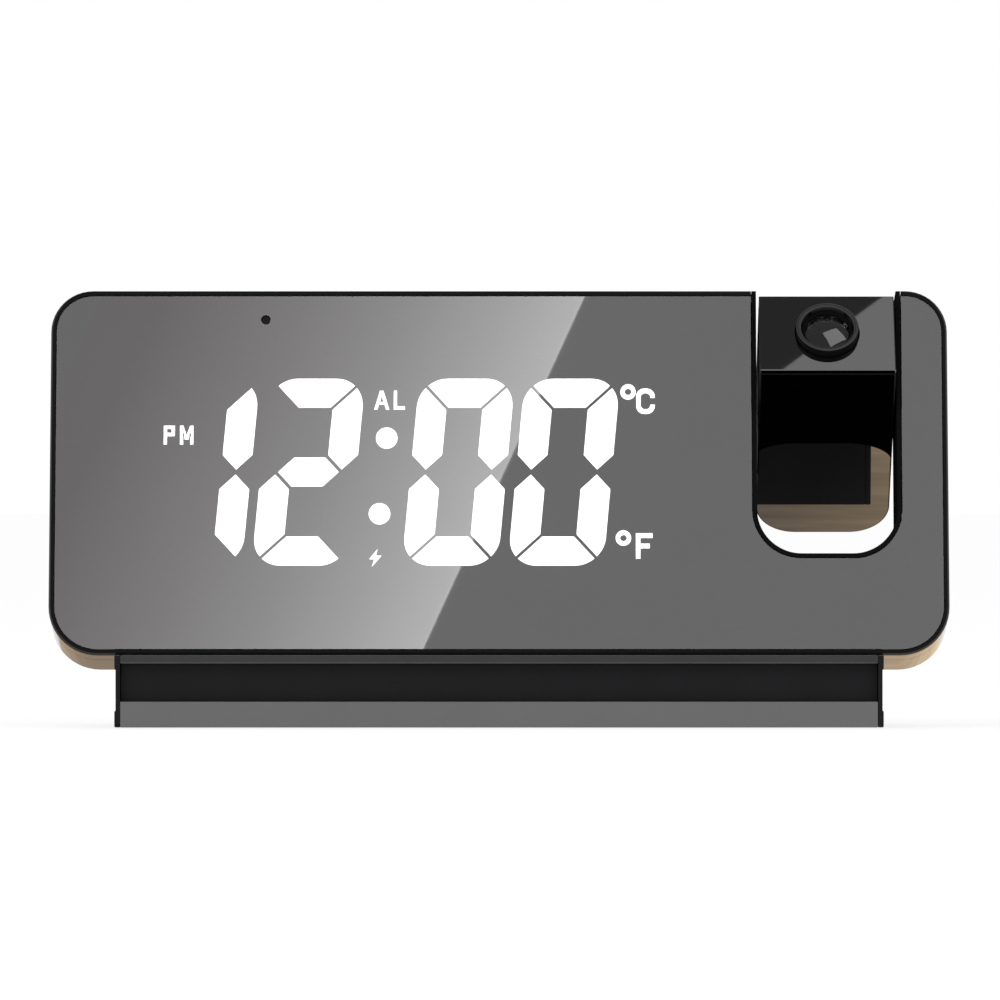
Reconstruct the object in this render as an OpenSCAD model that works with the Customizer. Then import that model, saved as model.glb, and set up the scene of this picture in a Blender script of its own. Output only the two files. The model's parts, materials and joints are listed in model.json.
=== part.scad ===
// Mirror-front desk alarm clock with a projector that tilts in a slot of its body.
// Origin: middle of the underside of the foot. +X is right, +Y is to the back, +Z is up.

/* [Body] */
// Width of the clock body
body_w = 188; // [182:1:200]
// Height of the body, measured along its leaning front
body_h = 78; // [76:1:84]
// Depth of the body, from the mirror face to the back
body_d = 20.3; // [20:0.1:23]
// Radius of the body's two upper corners
corner_r = 8.8; // [8:0.2:12]
// Radius of the body's two lower corners
corner_low_r = 10.4; // [8:0.2:12]
// How far the body leans back from upright, in degrees
lean_angle = 12; // [6:1:13]
// Wall of the middle shell
shell_wall = 2.4; // [2:0.1:2.8]
// Depth of the side of the front frame
frame_d = 5; // [4:0.1:6]
// Distance that the back cover stands behind the shell
cover_d = 4.1; // [3.5:0.1:5]
// Distance that the back cover is set in from the shell
cover_inset = 1.6; // [1:0.1:1.8]
// Thickness of the back cover
cover_t = 2; // [1.8:0.1:2.4]
// Wall of the small ribs and rims moulded inside the body
rib_t = 1.4; // [1:0.1:1.8]
// Clearance between pieces that are fixed together
fit_gap = 0.1; // [0.05:0.05:0.2]
// Clearance between pieces that move
move_gap = 0.3; // [0.25:0.05:0.4]

/* [Mirror front] */
// Thickness of the mirror lens
lens_t = 1.6; // [1.2:0.1:2]
// Width of the black rim round the mirror lens
rim_w = 1.2; // [0.6:0.1:1.4]
// Thickness of the ledge that the lens lies on
ledge_t = 1.4; // [1:0.1:1.8]
// Bore of the light sensor's hole in the lens
sensor_bore = 1.9; // [1.4:0.1:2.4]
// Sensor's distance left of the middle of the body
sensor_left = 48.95; // [40:0.5:60]
// Sensor's distance below the top of the body
sensor_drop = 6.3; // [5.4:0.1:6.4]

/* [Display] */
// Height of a digit
digit_h = 40; // [36:0.5:42]
// Width of a digit
digit_w = 20; // [18:0.5:20.5]
// Width of one segment
segment_w = 6.2; // [5:0.2:6.8]
// Radius of a digit's outer corners
digit_r = 6; // [3:0.5:6.4]
// Gap between two segments
segment_gap = 0.7; // [0.4:0.1:1]
// Distance from one digit to the next in a pair
digit_pitch = 22.1; // [22:0.1:23]
// Distance between the pairs' inner digits, across the colon
colon_pitch = 31.4; // [30:0.1:32]
// Slant of the digits, sideways per unit of height
digit_slant = 0.0905; // [0:0.005:0.12]
// Radius of a colon dot
dot_r = 2.4; // [1.6:0.1:2.8]
// Colon's distance left of the middle of the body
colon_left = 24.2; // [22:0.1:26]
// Height of the digits' middle above the body's bottom edge
digit_mid = 39.4; // [37:0.2:40]
// Distance of each colon dot from the colon's middle
colon_rise = 8.1; // [7:0.1:9]
// Colon's middle below the digits' middle
colon_sink = 0.8; // [0:0.1:1]
// Margin of the digit frame round the digits and signs
display_margin = 3.6; // [3:0.1:4.2]
// Depth of the digit frame's light cavities
cavity_d = 3.1; // [2.8:0.1:3.4]
// Thickness of the display board
display_board_t = 1; // [0.8:0.1:1.2]

/* [Slot and projector] */
// Distance from the slot's middle to the right side of the body
slot_margin = 25.4; // [25:0.1:28]
// Inner width of the slot
slot_w = 29.3; // [28.5:0.1:30]
// Wall of the liner in the slot
liner_t = 0.95; // [0.9:0.05:1.4]
// Side clearance between the projector and the slot
side_gap = 0.5; // [0.4:0.05:0.7]
// Clearance under the projector's end as it swings
swing_gap = 0.96; // [0.4:0.02:1]
// Length of the projector housing
head_len = 53.5; // [51:0.5:54]
// Radius of the projector's lower corners
head_r = 8.5; // [7:0.1:9]
// Distance from the projector's pivot to its lens face
pivot_drop = 19.2; // [18:0.1:20]
// Distance of the stowed lens face below the top of the body
stow_sink = 0.4; // [0:0.1:1]
// Tilt of the projector at rest, from stowed to lens forward
rest_tilt = 62.5; // [0:0.5:90]
// Wall of the projector case
case_wall = 1.5; // [1.2:0.1:1.8]
// Thickness of the projector's mirror plate, lens plate and back
plate_t = 1.2; // [1:0.1:1.5]
// Diameter of the pivot pins
pin_d = 4; // [3:0.1:5]
// Length of the bearing bushes
bush_len = 5; // [4:0.1:5.5]
// Outer diameter of the bearing bushes
bush_d = 9; // [7:0.1:10]
// Running clearance of a shaft in its bore, on the radius
shaft_gap = 0.05; // [0.03:0.01:0.09]

/* [Optics] */
// Outer diameter of the focus ring
ring_d = 13.1; // [12.6:0.1:13.6]
// Wall of the focus ring
ring_wall = 1; // [0.8:0.1:1.2]
// Height that the focus ring stands above the lens face
ring_proud = 2; // [1.8:0.1:3]
// Wall of the lens barrel at its mouth
barrel_wall = 0.75; // [0.6:0.05:0.9]
// Greatest travel of the lens barrel each way
focus_travel = 0.5; // [0.3:0.1:0.7]
// Bore of the light tunnel in the optics frame
tunnel_bore = 13.2; // [12.8:0.1:13.6]
// Wall of the optics frame
optics_wall = 1.4; // [1.1:0.1:1.6]

/* [Foot] */
// Width of the foot
foot_w = 160; // [150:1:164]
// Depth of the foot
foot_d = 45; // [44:0.5:54]
// Height of the foot at the front
foot_h = 15.2; // [14.6:0.1:18]
// Distance from the foot's front edge back to the body
face_setback = 4; // [3:0.1:5]
// Height of the foot's lower lip
lip_h = 5.6; // [5:0.1:6]
// Thickness of the foot's upper flange
flange_h = 1.7; // [1.4:0.1:2]
// Depth of the groove between the flange and the lip
groove_d = 1.6; // [1:0.1:2]
// Thickness of the black band in the groove
band_t = 1; // [0.6:0.1:1.2]
// Thickness of the end caps
cap_t = 1.2; // [1.1:0.1:2]
// Wall of the foot's shell and of the seat under the body
foot_wall = 2; // [1.6:0.1:2.2]
// Thickness of the soft pad under the foot
pad_t = 1.2; // [0.8:0.1:1.3]
// Height that the foot stands on its pad
pad_proud = 0.2; // [0.2:0.05:0.5]
// Length of the pad
pad_w = 124; // [90:1:126]
// Depth of the pad
pad_d = 22; // [14:1:22]

/* [Controls] */
// Diameter of a rear button
button_d = 5.5; // [4.5:0.1:6.5]
// Height that a rear button stands above the cover
button_proud = 0.8; // [0.6:0.1:1.2]
// Travel of a rear button
button_travel = 0.5; // [0.3:0.05:0.6]
// Distance from one rear button to the next
button_pitch = 15; // [13:0.5:16]
// Length of the snooze bar
snooze_w = 48; // [30:1:56]
// Depth of the snooze bar
snooze_d = 6; // [4.5:0.1:6.2]
// Height that the snooze bar stands above the body
snooze_proud = 1.4; // [1.1:0.1:1.5]
// Travel of the snooze bar
snooze_travel = 0.6; // [0.4:0.1:0.7]

/* [Inside] */
// Thickness of the main board
board_t = 1.2; // [1:0.1:1.6]
// Length of the main board
board_w = 100; // [96:1:104]
// Height of the main board
board_h = 20; // [18:0.5:21]
// Diameter of a battery cell
cell_d = 10.5; // [10:0.1:10.6]
// Length of a battery cell
cell_len = 44.5; // [43:0.1:45]
// Battery bay's distance left of the middle of the body
bay_left = 30; // [28:0.5:34]
// Thickness of the battery door
door_t = 1.8; // [1.5:0.1:1.9]
// Diameter of the speaker
speaker_d = 24; // [20:0.5:26]
// Speaker's distance right of the middle of the body
speaker_right = 24; // [23:0.5:26]
// Diameter of the case screws
screw_d = 2; // [1.6:0.1:2.2]
// Diameter of the screw heads
screw_head_d = 4; // [3.4:0.1:4.2]
// Diameter of the moulded screw posts
post_d = 5.5; // [5:0.1:5.8]

/* [Hidden] */

// Round faces, and how far a cutting shape runs past what it cuts
$fn = 64;
past = 1;

// Body planes, as depths behind the mirror face
half_w = body_w / 2;
ledge_back = lens_t + ledge_t;
shell_back = body_d - cover_d;
cover_inner = body_d - cover_t;
face_y = face_setback - foot_d / 2;

// Projector housing and the slot that it swings in
slot_x = half_w - slot_margin;
head_w = slot_w - 2 * side_gap;
half_head_w = head_w / 2;
half_head_d = body_d / 2;
head_bottom = pivot_drop - head_len;
swing_r = sqrt(head_bottom * head_bottom + half_head_d * half_head_d);
pivot_y = body_d / 2;
pivot_z = body_h - stow_sink - pivot_drop;
slot_floor = pivot_z - swing_r - swing_gap;
slot_r = head_r + side_gap + move_gap;
half_liner = slot_w / 2 + liner_t;
beside_slot = slot_x - half_liner;
pin_out = half_liner + bush_len - move_gap;

// Display window and board
tip_gap = segment_gap * 1.6;
sign_left = 70.4;
display_left = sign_left + display_margin;
display_right = 33.4 + display_margin;
display_low = digit_mid - digit_h / 2 - display_margin - 1;
display_high = digit_mid + digit_h / 2 + display_margin + 1;
frame_lip = 1.5;
digit_frame_front = lens_t + fit_gap;
digit_frame_back = digit_frame_front + cavity_d;
display_back = digit_frame_back + display_board_t;
sensor_z = body_h - sensor_drop;
sensor_tab_w = 8;
sensor_tab_over = 2.4;
led_size = 1.6;
led_h = 0.7;
guide_back = digit_frame_back - led_h - 2 * fit_gap;

// Rear buttons: the flange, and the gap to the switch's plunger when a button is pressed fully
switch_w = 6;
switch_h = 1.6;
plunger_d = 3;
plunger_h = 0.7;
press_gap = 0.2;
button_flange_t = 0.8;
button_flange_in = cover_inner - move_gap - button_flange_t;

// Main board, its posts and its switches
board_back = button_flange_in - button_travel - press_gap - switch_h - plunger_h;
board_front = board_back - board_t;
board_top = body_h - shell_wall - 2.6;
board_lead_room = 9.8;
board_right = slot_x - pin_out - board_lead_room;
board_left = board_right - board_w;
board_post_z = board_top - 3.4;
board_post_in = 3;
board_post_xs = [board_left + board_post_in, board_right - 54, board_right - board_post_in];
board_post_d = 4.4;
board_screw_grip = 4.5;
board_bottom = board_top - board_h;
plug_xs = [for (inset = [40, 24, 15, 5]) board_right - inset];
plug_z = board_bottom + 0.6;
plug_t = 3;
plug_w = 5;
plug_h = 3.4;
chip_in = 16;
chip_pitch = 24;
chip_w = 10;
chip_h = 8;
chip_t = 1.8;
chip_z = board_bottom + 5.5;
capacitor_d = 5;
capacitor_h = 4.5;
button_z = board_top - 12.5;
button_x0 = -10;
snooze_flange_over = 1;
snooze_y = shell_back - 2 - move_gap - snooze_flange_over - snooze_d / 2;
snooze_flange_top = body_h - shell_wall - move_gap;
snooze_flange_t = 1.1;
snooze_switch_top = snooze_flange_top - snooze_flange_t - snooze_travel - 0.3;

// Battery bay
contact_t = 0.5;
contact_w = 8;
spring_len = 4.4;
bay_l = cell_len + spring_len + 2 * contact_t + 0.3;
bay_pitch = cell_d + 0.8;
bay_h = bay_pitch + cell_d + 0.6;
bay_mid_z = 31.5;
bay_floor_t = 1;
door_front = body_d - door_t;
cell_y = door_front - move_gap - cell_d / 2;
bay_floor_y = cell_y - cell_d / 2 - fit_gap - bay_floor_t;
door_over = 2;
door_l = bay_l + 2 * door_over;
door_h = bay_h + 2 * door_over;
door_low = bay_mid_z - door_h / 2;
tab_w = 7;
tab_reach = 1.5;
tab_t = 0.8;

// Speaker
speaker_z = 30;
speaker_t = 5;
gasket_t = 0.6;

// Power socket
socket_w = 9;
socket_h = 3.2;
socket_len = 7.4;
socket_z = shell_wall + 7;
power_board_w = 16;
power_board_d = 10;

// Screws through the back cover, as [x, z] on the body
post_places = [
    [-half_w + 8, 8.5], [-half_w + 8, body_h - 8.5], [beside_slot - 10.5, body_h - 6.5],
    [-20, shell_wall + 3.1], [beside_slot - 2.5, shell_wall + 3.1], [half_w - 5.8, 12]
];
screw_head_h = 1.2;
screw_sink = 1.4;

// Foot heights and depths
half_foot_d = foot_d / 2;
foot_inner = foot_w / 2 - cap_t;
neck_y = half_foot_d - groove_d - band_t;
flange_low = foot_h - flange_h;
seat_len = body_d + fit_gap;
seat_end_y = face_y + seat_len * cos(lean_angle);
seat_end_z = foot_h - seat_len * sin(lean_angle);
seat_rear_y = seat_end_y + seat_len * sin(lean_angle) * tan(lean_angle);
base_floor = pad_proud + 1.8;
foot_screw_x = foot_inner - 10.5;
foot_screw_y = neck_y - foot_wall - 4.6;
seat_screw_x = beside_slot - 12.5;
seat_screw_y = 11;
seat_screw_len = 7.5;

// Radius of the leads
lead_r = 0.55;

// Projector stack, as heights along the lens axis from the pivot
case_top = pivot_drop - plate_t;
shelf_t = 1.2;
shelf_z = -24.5;
led_board_t = 1.2;
led_board_z = shelf_z + shelf_t;
optics_z = led_board_z + led_board_t;
ring_bore = ring_d - 2 * ring_wall;
ring_fit = 0.1;
barrel_d = ring_bore - 2 * ring_fit;
objective_d = barrel_d - 2 * barrel_wall - 2 * fit_gap;
ring_flange_t = 1.2;
ring_flange_z = case_top - ring_fit - ring_flange_t;
sleeve_top = ring_flange_z - move_gap;
half_tunnel = tunnel_bore / 2 + optics_wall;
barrel_sink = 0.7;
barrel_top = pivot_drop + ring_proud - barrel_sink - focus_travel;
barrel_low = 4;
objective_t = 2.2;
condenser_z = -15;
condenser_t = 5;
condenser_r = 9;
slide_z = -4.4;
slide_t = 1.1;
pin_head_t = 0.8;
pin_head_fit = 0.05;
pin_lead_room = 2 * lead_r + 0.5;
pin_boss_in = half_tunnel + pin_lead_room + pin_head_t + pin_head_fit;
pin_bore = 1.8;
washer_t = 0.8;
washer_d = pin_d + 4.4;
washer_sink = washer_t - side_gap + 0.2;
head_post_x = half_head_w - case_wall - 1.4;
head_post_zs = [head_bottom + 6.6, case_top - 4.2];
head_screw_d = 1.6;
head_screw_head = 3;

// Battery bay's left end, and the heights of the two cells
bay_start = -bay_left - bay_l / 2;
cell_zs = [bay_mid_z - bay_pitch / 2, bay_mid_z + bay_pitch / 2];

// Round wire of the springs, and the leads
wire_r = 0.35;
wire_sides = 8;
coil_turns = 3.5;
coil_steps = 12 * coil_turns;
spring_room = spring_len - 0.2 - 2 * wire_r;
lead_sides = 8;
lead_run_y = 8.5;
// Depth at which leads meet the plugs, and their height there
lead_y = board_front - plug_t / 2;
lead_top = plug_z - 0.4;

// ---------- Frames and basic shapes ----------

// Places children in the leaning body: X right, Y back from the mirror face, Z up along it
module in_body() translate([0, face_y, foot_h]) rotate([-lean_angle, 0, 0]) children();

// Places children in the projector as it rests: Z is the lens axis, the pivot is the origin
module in_head() in_body() translate([slot_x, pivot_y, pivot_z]) rotate([rest_tilt, 0, 0]) children();

// Extrudes a shape drawn as [x, z] from depth y0 to depth y1
module slab(y0, y1) translate([0, y1, 0]) rotate([90, 0, 0]) linear_extrude(y1 - y0) children();

// Extrudes a profile drawn as [y, z] from x0 to x1
module along_x(x0, x1) translate([x0, 0, 0]) rotate([90, 0, 90]) linear_extrude(x1 - x0) children();

// Cylinder that starts at [x, y, z] and runs back along Y
module rod_y(x, y, z, d, len) translate([x, y, z]) rotate([-90, 0, 0]) cylinder(d = d, h = len);

// Cylinder that starts at x0 and runs to x1 along X, on the pivot
module rod_x(x0, x1, d) translate([x0, 0, 0]) rotate([0, 90, 0]) cylinder(d = d, h = x1 - x0);

// Block between two corners
module block(low, high) translate(low) cube(high - low);

// Rectangle with round corners, its lower left corner at [x, z]
module rounded_rect(x, z, w, h, r) {
    translate([x + r, z]) square([w - 2 * r, h]);
    translate([x, z + r]) square([w, h - 2 * r]);
    for (cx = [x + r, x + w - r], cz = [z + r, z + h - r]) translate([cx, cz]) circle(r);
}

// Outline of the body, set in on all sides
module body_outline(inset) {
    translate([inset - half_w, corner_low_r])
        square([body_w - 2 * inset, body_h - corner_r - corner_low_r]);
    translate([corner_r - half_w, body_h / 2]) square([body_w - 2 * corner_r, body_h / 2 - inset]);
    translate([corner_low_r - half_w, inset]) square([body_w - 2 * corner_low_r, body_h / 2 - inset]);
    for (side = [-1, 1]) {
        translate([side * (half_w - corner_r), body_h - corner_r]) circle(corner_r - inset);
        translate([side * (half_w - corner_low_r), corner_low_r]) circle(corner_low_r - inset);
    }
}

// Round-bottomed U that is open at the top, centred on x
module u_outline(x, low, top, w, r) {
    translate([x - w / 2, low + r]) square([w, top - low - r]);
    translate([x - w / 2 + r, low]) square([w - 2 * r, 2 * r]);
    for (side = [-1, 1]) translate([x + side * (w / 2 - r), low + r]) circle(r);
}

// Outline of the slot, made larger on all sides
module slot_outline(grow, top = body_h + past)
    u_outline(slot_x, slot_floor - grow, top, slot_w + 2 * grow, slot_r + grow);

// Outline of the projector from its front, set in on all sides
module head_outline(inset, top)
    u_outline(0, head_bottom + inset, top, head_w - 2 * inset, head_r - inset);

// Screw along Y with its head at the back, at depth y
module screw_y(x, y, z, len) {
    difference() {
        rod_y(x, y - screw_head_h, z, screw_head_d, screw_head_h);
        for (turn = [0, 90]) translate([x, y, z]) rotate([0, turn, 0])
            cube([screw_head_d * 0.62, screw_head_h, 0.5], center = true);
    }
    rod_y(x, y - screw_head_h - len, z, screw_d, len);
}

// ---------- Front ----------

module sensor_hole(d, y0, y1) rod_y(-sensor_left, y0, sensor_z, d, y1 - y0);

module front_lens() color([0.41, 0.41, 0.41]) in_body() difference() {
    slab(0, lens_t) difference() {
        body_outline(rim_w);
        slot_outline(liner_t + fit_gap);
    }
    sensor_hole(sensor_bore, -past, lens_t + past);
}

module display_window(grow)
    translate([-display_left - grow, display_low - grow])
        square([display_left + display_right + 2 * grow, display_high - display_low + 2 * grow]);

module front_bezel() color([0.04, 0.04, 0.045]) in_body() difference() {
    union() {
        difference() {
            slab(0, frame_d) body_outline(0);
            slab(ledge_back, frame_d + past) body_outline(shell_wall);
        }
        for (place = post_places)
            rod_y(place[0], ledge_back - 0.5, place[1], post_d, cover_inner - ledge_back + 0.5);
        for (x = board_post_xs)
            rod_y(x, ledge_back - 0.5, board_post_z, board_post_d, board_front - ledge_back + 0.5);
    }
    slab(-past, lens_t) body_outline(rim_w - fit_gap);
    slab(-past, frame_d + past) slot_outline(liner_t + fit_gap);
    slab(-past, frame_d + past) display_window(fit_gap);
    sensor_hole(sensor_bore + 2 * fit_gap, 0, frame_d);
    for (place = post_places)
        rod_y(place[0], cover_inner - 8, place[1], screw_d + fit_gap, 8 + past);
    for (x = board_post_xs)
        rod_y(x, board_front - board_screw_grip - 0.5, board_post_z, screw_d + fit_gap,
            board_screw_grip + 0.5 + past);
}

module slot_liner() color([0.02, 0.02, 0.02]) in_body() difference() {
    union() {
        slab(0, body_d) slot_outline(liner_t, body_h);
        translate([slot_x, pivot_y, pivot_z])
            rod_x(-half_liner - bush_len, half_liner + bush_len, bush_d + 2 * rib_t);
    }
    slab(-past, body_d + past) slot_outline(0);
    translate([slot_x, pivot_y, pivot_z]) {
        rod_x(-half_liner - bush_len - past, half_liner + bush_len + past, pin_d + 2 * move_gap);
        for (side = [0, 1]) mirror([side, 0, 0])
            rod_x(half_liner, half_liner + bush_len + past, bush_d + 2 * fit_gap);
    }
}

module hinge_bushes() color([0.85, 0.85, 0.8]) in_body() translate([slot_x, pivot_y, pivot_z])
    for (side = [0, 1]) mirror([side, 0, 0]) difference() {
        rod_x(half_liner, half_liner + bush_len, bush_d);
        rod_x(half_liner - past, half_liner + bush_len + past, pin_d + 2 * shaft_gap);
    }

// ---------- Shell and back cover ----------

module body_shell() color([0.03, 0.03, 0.03]) in_body() difference() {
    union() {
        slab(frame_d, shell_back) difference() {
            body_outline(0);
            body_outline(shell_wall);
            slot_outline(liner_t + fit_gap);
        }
        for (side = [-1, 1]) translate([side * seat_screw_x, seat_screw_y, shell_wall - 0.5])
            cylinder(d = post_d, h = seat_screw_len - shell_wall + 1.5);
        for (side = [-1, 1]) translate([slot_x + side * (power_board_w / 2 - rib_t), 0, 0])
            block([-rib_t / 2, frame_d + 0.5, shell_wall - 0.5],
                [rib_t / 2, shell_back - 2.6, socket_z - board_t]);
    }
    block([-snooze_w / 2 - move_gap, snooze_y - snooze_d / 2 - move_gap, body_h - shell_wall - past],
        [snooze_w / 2 + move_gap, snooze_y + snooze_d / 2 + move_gap, body_h + past]);
    for (side = [-1, 1]) translate([side * seat_screw_x, seat_screw_y, -past])
        cylinder(d = screw_d + fit_gap, h = seat_screw_len + past);
}

module bay_box(grow, y0, y1)
    block([-bay_left - bay_l / 2 - grow, y0, bay_mid_z - bay_h / 2 - grow],
        [-bay_left + bay_l / 2 + grow, y1, bay_mid_z + bay_h / 2 + grow]);

// Room for the battery door's two tabs, which swing about the door's lower edge
module door_tab_rooms() for (side = [-1, 1])
    translate([-bay_left + side * door_l / 4, door_front, door_low])
        block([-tab_w / 2 - move_gap, -3 * tab_t, -tab_reach - 2 * move_gap],
            [tab_w / 2 + move_gap, door_front - cover_inner + 0.01, door_over + 1]);

module rear_cover() color([0.04, 0.04, 0.04]) in_body() difference() {
    union() {
        slab(cover_inner, body_d) body_outline(cover_inset);
        slab(shell_back, cover_inner + 0.5) difference() {
            body_outline(cover_inset);
            body_outline(shell_wall + fit_gap + rib_t);
        }
        slab(shell_back - 2, shell_back + 0.5) difference() {
            body_outline(shell_wall + fit_gap);
            body_outline(shell_wall + fit_gap + rib_t);
        }
        bay_box(rib_t, bay_floor_y, cover_inner + 0.5);
        bay_box(door_over + rib_t, cover_inner - 1, cover_inner + 0.5);
        rod_y(speaker_right, cover_inner - 3, speaker_z, speaker_d + 2 * (fit_gap + rib_t), 3.5);
        for (x = [board_post_xs[0], board_post_xs[2]])
            rod_y(x, board_back, board_bottom + 3, board_post_d, cover_inner - board_back + 0.5);
    }
    slab(0, body_d + past) slot_outline(liner_t + fit_gap);
    for (place = post_places) rod_y(place[0], 0, place[1], post_d + 2 * fit_gap, cover_inner);
    bay_box(0, bay_floor_y + bay_floor_t, cover_inner + past);
    bay_box(door_over + move_gap, cover_inner, body_d + past);
    door_tab_rooms();
    rod_y(speaker_right, cover_inner - 3 - past, speaker_z, speaker_d + 2 * fit_gap, 3 + past);
    speaker_grille();
    for (i = [0 : 4])
        rod_y(button_x0 + (i - 2) * button_pitch, 0, button_z, button_d + 2 * move_gap, body_d + past);
    slab(0, body_d + past) translate([slot_x, socket_z + socket_h / 2])
        square([socket_w + 4 * fit_gap, socket_h + 4 * fit_gap], center = true);
    for (place = post_places) {
        rod_y(place[0], 0, place[1], screw_d + 2 * fit_gap, body_d + past);
        rod_y(place[0], body_d - screw_sink, place[1], screw_head_d + 2 * fit_gap, screw_sink + past);
    }
}

// Rows of sound holes behind the speaker
module speaker_grille() {
    row_pitch = speaker_d / 8;
    for (row = [-3 : 3], column = [-3 : 3])
        if (row * row + column * column < 11)
            rod_y(speaker_right + column * row_pitch, cover_inner - past,
                speaker_z + row * row_pitch, row_pitch / 2, cover_t + 2 * past);
}

module cover_screws() color("dimgray") in_body()
    for (place = post_places)
        screw_y(place[0], body_d - (screw_sink - screw_head_h), place[1], 7.5);

// ---------- Display ----------

// Slants a point that is given from the middle of a digit or sign
function slanted(p, x, z) = [x + p[0] + digit_slant * p[1], z + p[1]];
function arc_points(cx, cz, r, from, to, steps = 5) =
    [for (i = [0 : steps]) let (a = from + (to - from) * i / steps) [cx + r * cos(a), cz + r * sin(a)]];
function flipped(points, fx, fz) = [for (p = points) [fx * p[0], fz * p[1]]];

// Top segment of a digit, made larger by grow on all sides
function top_segment(grow) = let (
    w = digit_w / 2 + grow, h = digit_h / 2 + grow, t = segment_w + 2 * grow,
    half_gap = segment_gap / 2 - grow, r = digit_r + grow,
    inner = w - t - half_gap * sqrt(2), bend = asin(half_gap / r)
) concat(
    [[-inner, h - t], [inner, h - t]],
    arc_points(w - r, h - r, r, 45 + bend, 90),
    arc_points(r - w, h - r, r, 90, 135 - bend)
);

// Upper right segment of a digit
function side_segment(grow) = let (
    w = digit_w / 2 + grow, h = digit_h / 2 + grow, t = segment_w + 2 * grow,
    half_gap = segment_gap / 2 - grow, r = digit_r + grow,
    low = tip_gap / 2 - grow * sqrt(2), bend = asin(half_gap / r)
) concat(
    [[w - t, h - t - half_gap * sqrt(2)], [w - t, low + t / 2], [w - t / 2, low], [w, low + t / 2]],
    arc_points(w - r, h - r, r, 0, 45 - bend)
);

// Middle segment of a digit
function middle_segment(grow) = let (
    t = segment_w / 2 + grow,
    tip = digit_w / 2 - segment_w / 2 - tip_gap / 2 + grow * sqrt(2)
) [[-tip, 0], [t - tip, -t], [tip - t, -t], [tip, 0], [tip - t, t], [t - tip, t]];

// Segments a to g of one digit
function segment_points(name, grow) =
    name == "a" ? top_segment(grow) :
    name == "b" ? side_segment(grow) :
    name == "c" ? flipped(side_segment(grow), 1, -1) :
    name == "d" ? flipped(top_segment(grow), 1, -1) :
    name == "e" ? flipped(side_segment(grow), -1, -1) :
    name == "f" ? flipped(side_segment(grow), -1, 1) :
    middle_segment(grow);

// Middles of the four digits, the segments that each one has and those that it lights
digit_xs = [
    -colon_left - colon_pitch / 2 - digit_pitch, -colon_left - colon_pitch / 2,
    colon_pitch / 2 - colon_left, colon_pitch / 2 - colon_left + digit_pitch
];
fitted = ["abcdeg", "abcdefg", "abcdefg", "abcdefg"];
lit = ["bc", "abged", "abcdef", "abcdef"];

module segment_shape(digit, name, grow)
    polygon([for (p = segment_points(name, grow)) slanted(p, digit_xs[digit], digit_mid)]);

module digit_shapes(grow, want_lit) for (digit = [0 : 3], name = fitted[digit])
    if ((len(search(name, lit[digit])) > 0) == want_lit) segment_shape(digit, name, grow);

// Small signs beside the digits: height, stroke and the lower left corner of each
sign_h = 4.3;
stroke = 0.95;
degree_h = 5.4;

// A slanted bar from one point to the next, as wide as a stroke
module bar(from, to) {
    side = stroke / 2;
    polygon([[from[0] - side, from[1]], [from[0] + side, from[1]], [to[0] + side, to[1]],
        [to[0] - side, to[1]]]);
}

module letter_p(h) {
    square([stroke, h]);
    difference() {
        translate([0, h * 0.42]) square([2.6, h * 0.58]);
        translate([stroke, h * 0.42 + stroke]) square([2.6 - 2 * stroke, h * 0.58 - 2 * stroke]);
    }
}

module letter_m(h) {
    for (x = [0, 3.1 - stroke]) translate([x, 0]) square([stroke, h]);
    for (x = [stroke / 2, 3.1 - stroke / 2]) bar([3.1 / 2, h * 0.25], [x, h]);
}

module letter_a(h) {
    for (x = [stroke / 2, 3.5 - stroke / 2]) bar([x, 0], [3.5 / 2, h]);
    translate([0.8, h * 0.25]) square([1.9, stroke * 0.8]);
}

module letter_l(h) {
    square([stroke, h]);
    square([2.6, stroke]);
}

module letter_c(h) difference() {
    rounded_rect(0, 0, 3.9, h, 1.7);
    rounded_rect(stroke, stroke, 3.9 - 2 * stroke, h - 2 * stroke, 0.9);
    translate([3.9 - stroke - 0.1, h * 0.36]) square([stroke + past, h * 0.28]);
}

module letter_f(h) {
    square([stroke, h]);
    translate([0, h - stroke]) square([3.5, stroke]);
    translate([0, h * 0.5 - stroke / 2]) square([2.9, stroke]);
}

module degree_mark() difference() {
    circle(1.62);
    circle(0.7);
}

module bolt_mark()
    polygon([[1.7, 3.7], [0, 1.6], [1.05, 1.6], [0.5, 0], [2.5, 2.3], [1.35, 2.3]]);

// Lower left corners of the signs: afternoon, alarm, power, and the two degree letters
noon_at = [-sign_left, 45.2];
alarm_at = [-26.35, 52.7];
bolt_at = [-27.1, 19.2];
celsius_at = [28.75, 51.9];
fahrenheit_at = [28.6, 20.9];
letter_pitch = 3.4;
degree_from_c = [-1.7, 4.7];
degree_from_f = [-2.6, 4.4];

// All the signs, drawn on the body's front
module sign_shapes() {
    translate(noon_at) letter_p(sign_h);
    translate(noon_at + [letter_pitch, 0]) letter_m(sign_h);
    translate(alarm_at) letter_a(sign_h);
    translate(alarm_at + [letter_pitch + 0.75, 0]) letter_l(sign_h);
    translate(bolt_at) bolt_mark();
    translate(celsius_at) letter_c(degree_h);
    translate(celsius_at + degree_from_c) degree_mark();
    translate(fahrenheit_at) letter_f(degree_h);
    translate(fahrenheit_at + degree_from_f) degree_mark();
}

// Plain wells that hold the signs' light guides: lower left corner, width and height
well_edge = 0.3;
function well(corner, w, h) =
    [corner[0] - well_edge, corner[1] - well_edge, w + 2 * well_edge, h + 2 * well_edge];
sign_wells = [
    well(noon_at, letter_pitch + 3.1, sign_h), well(alarm_at, letter_pitch + 3.35, sign_h),
    well(bolt_at, 2.5, 3.7), well(celsius_at - [3.35, 0], 7.25, degree_h + 1),
    well(fahrenheit_at - [4.3, 0], 7.8, degree_h + 0.7)
];

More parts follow.
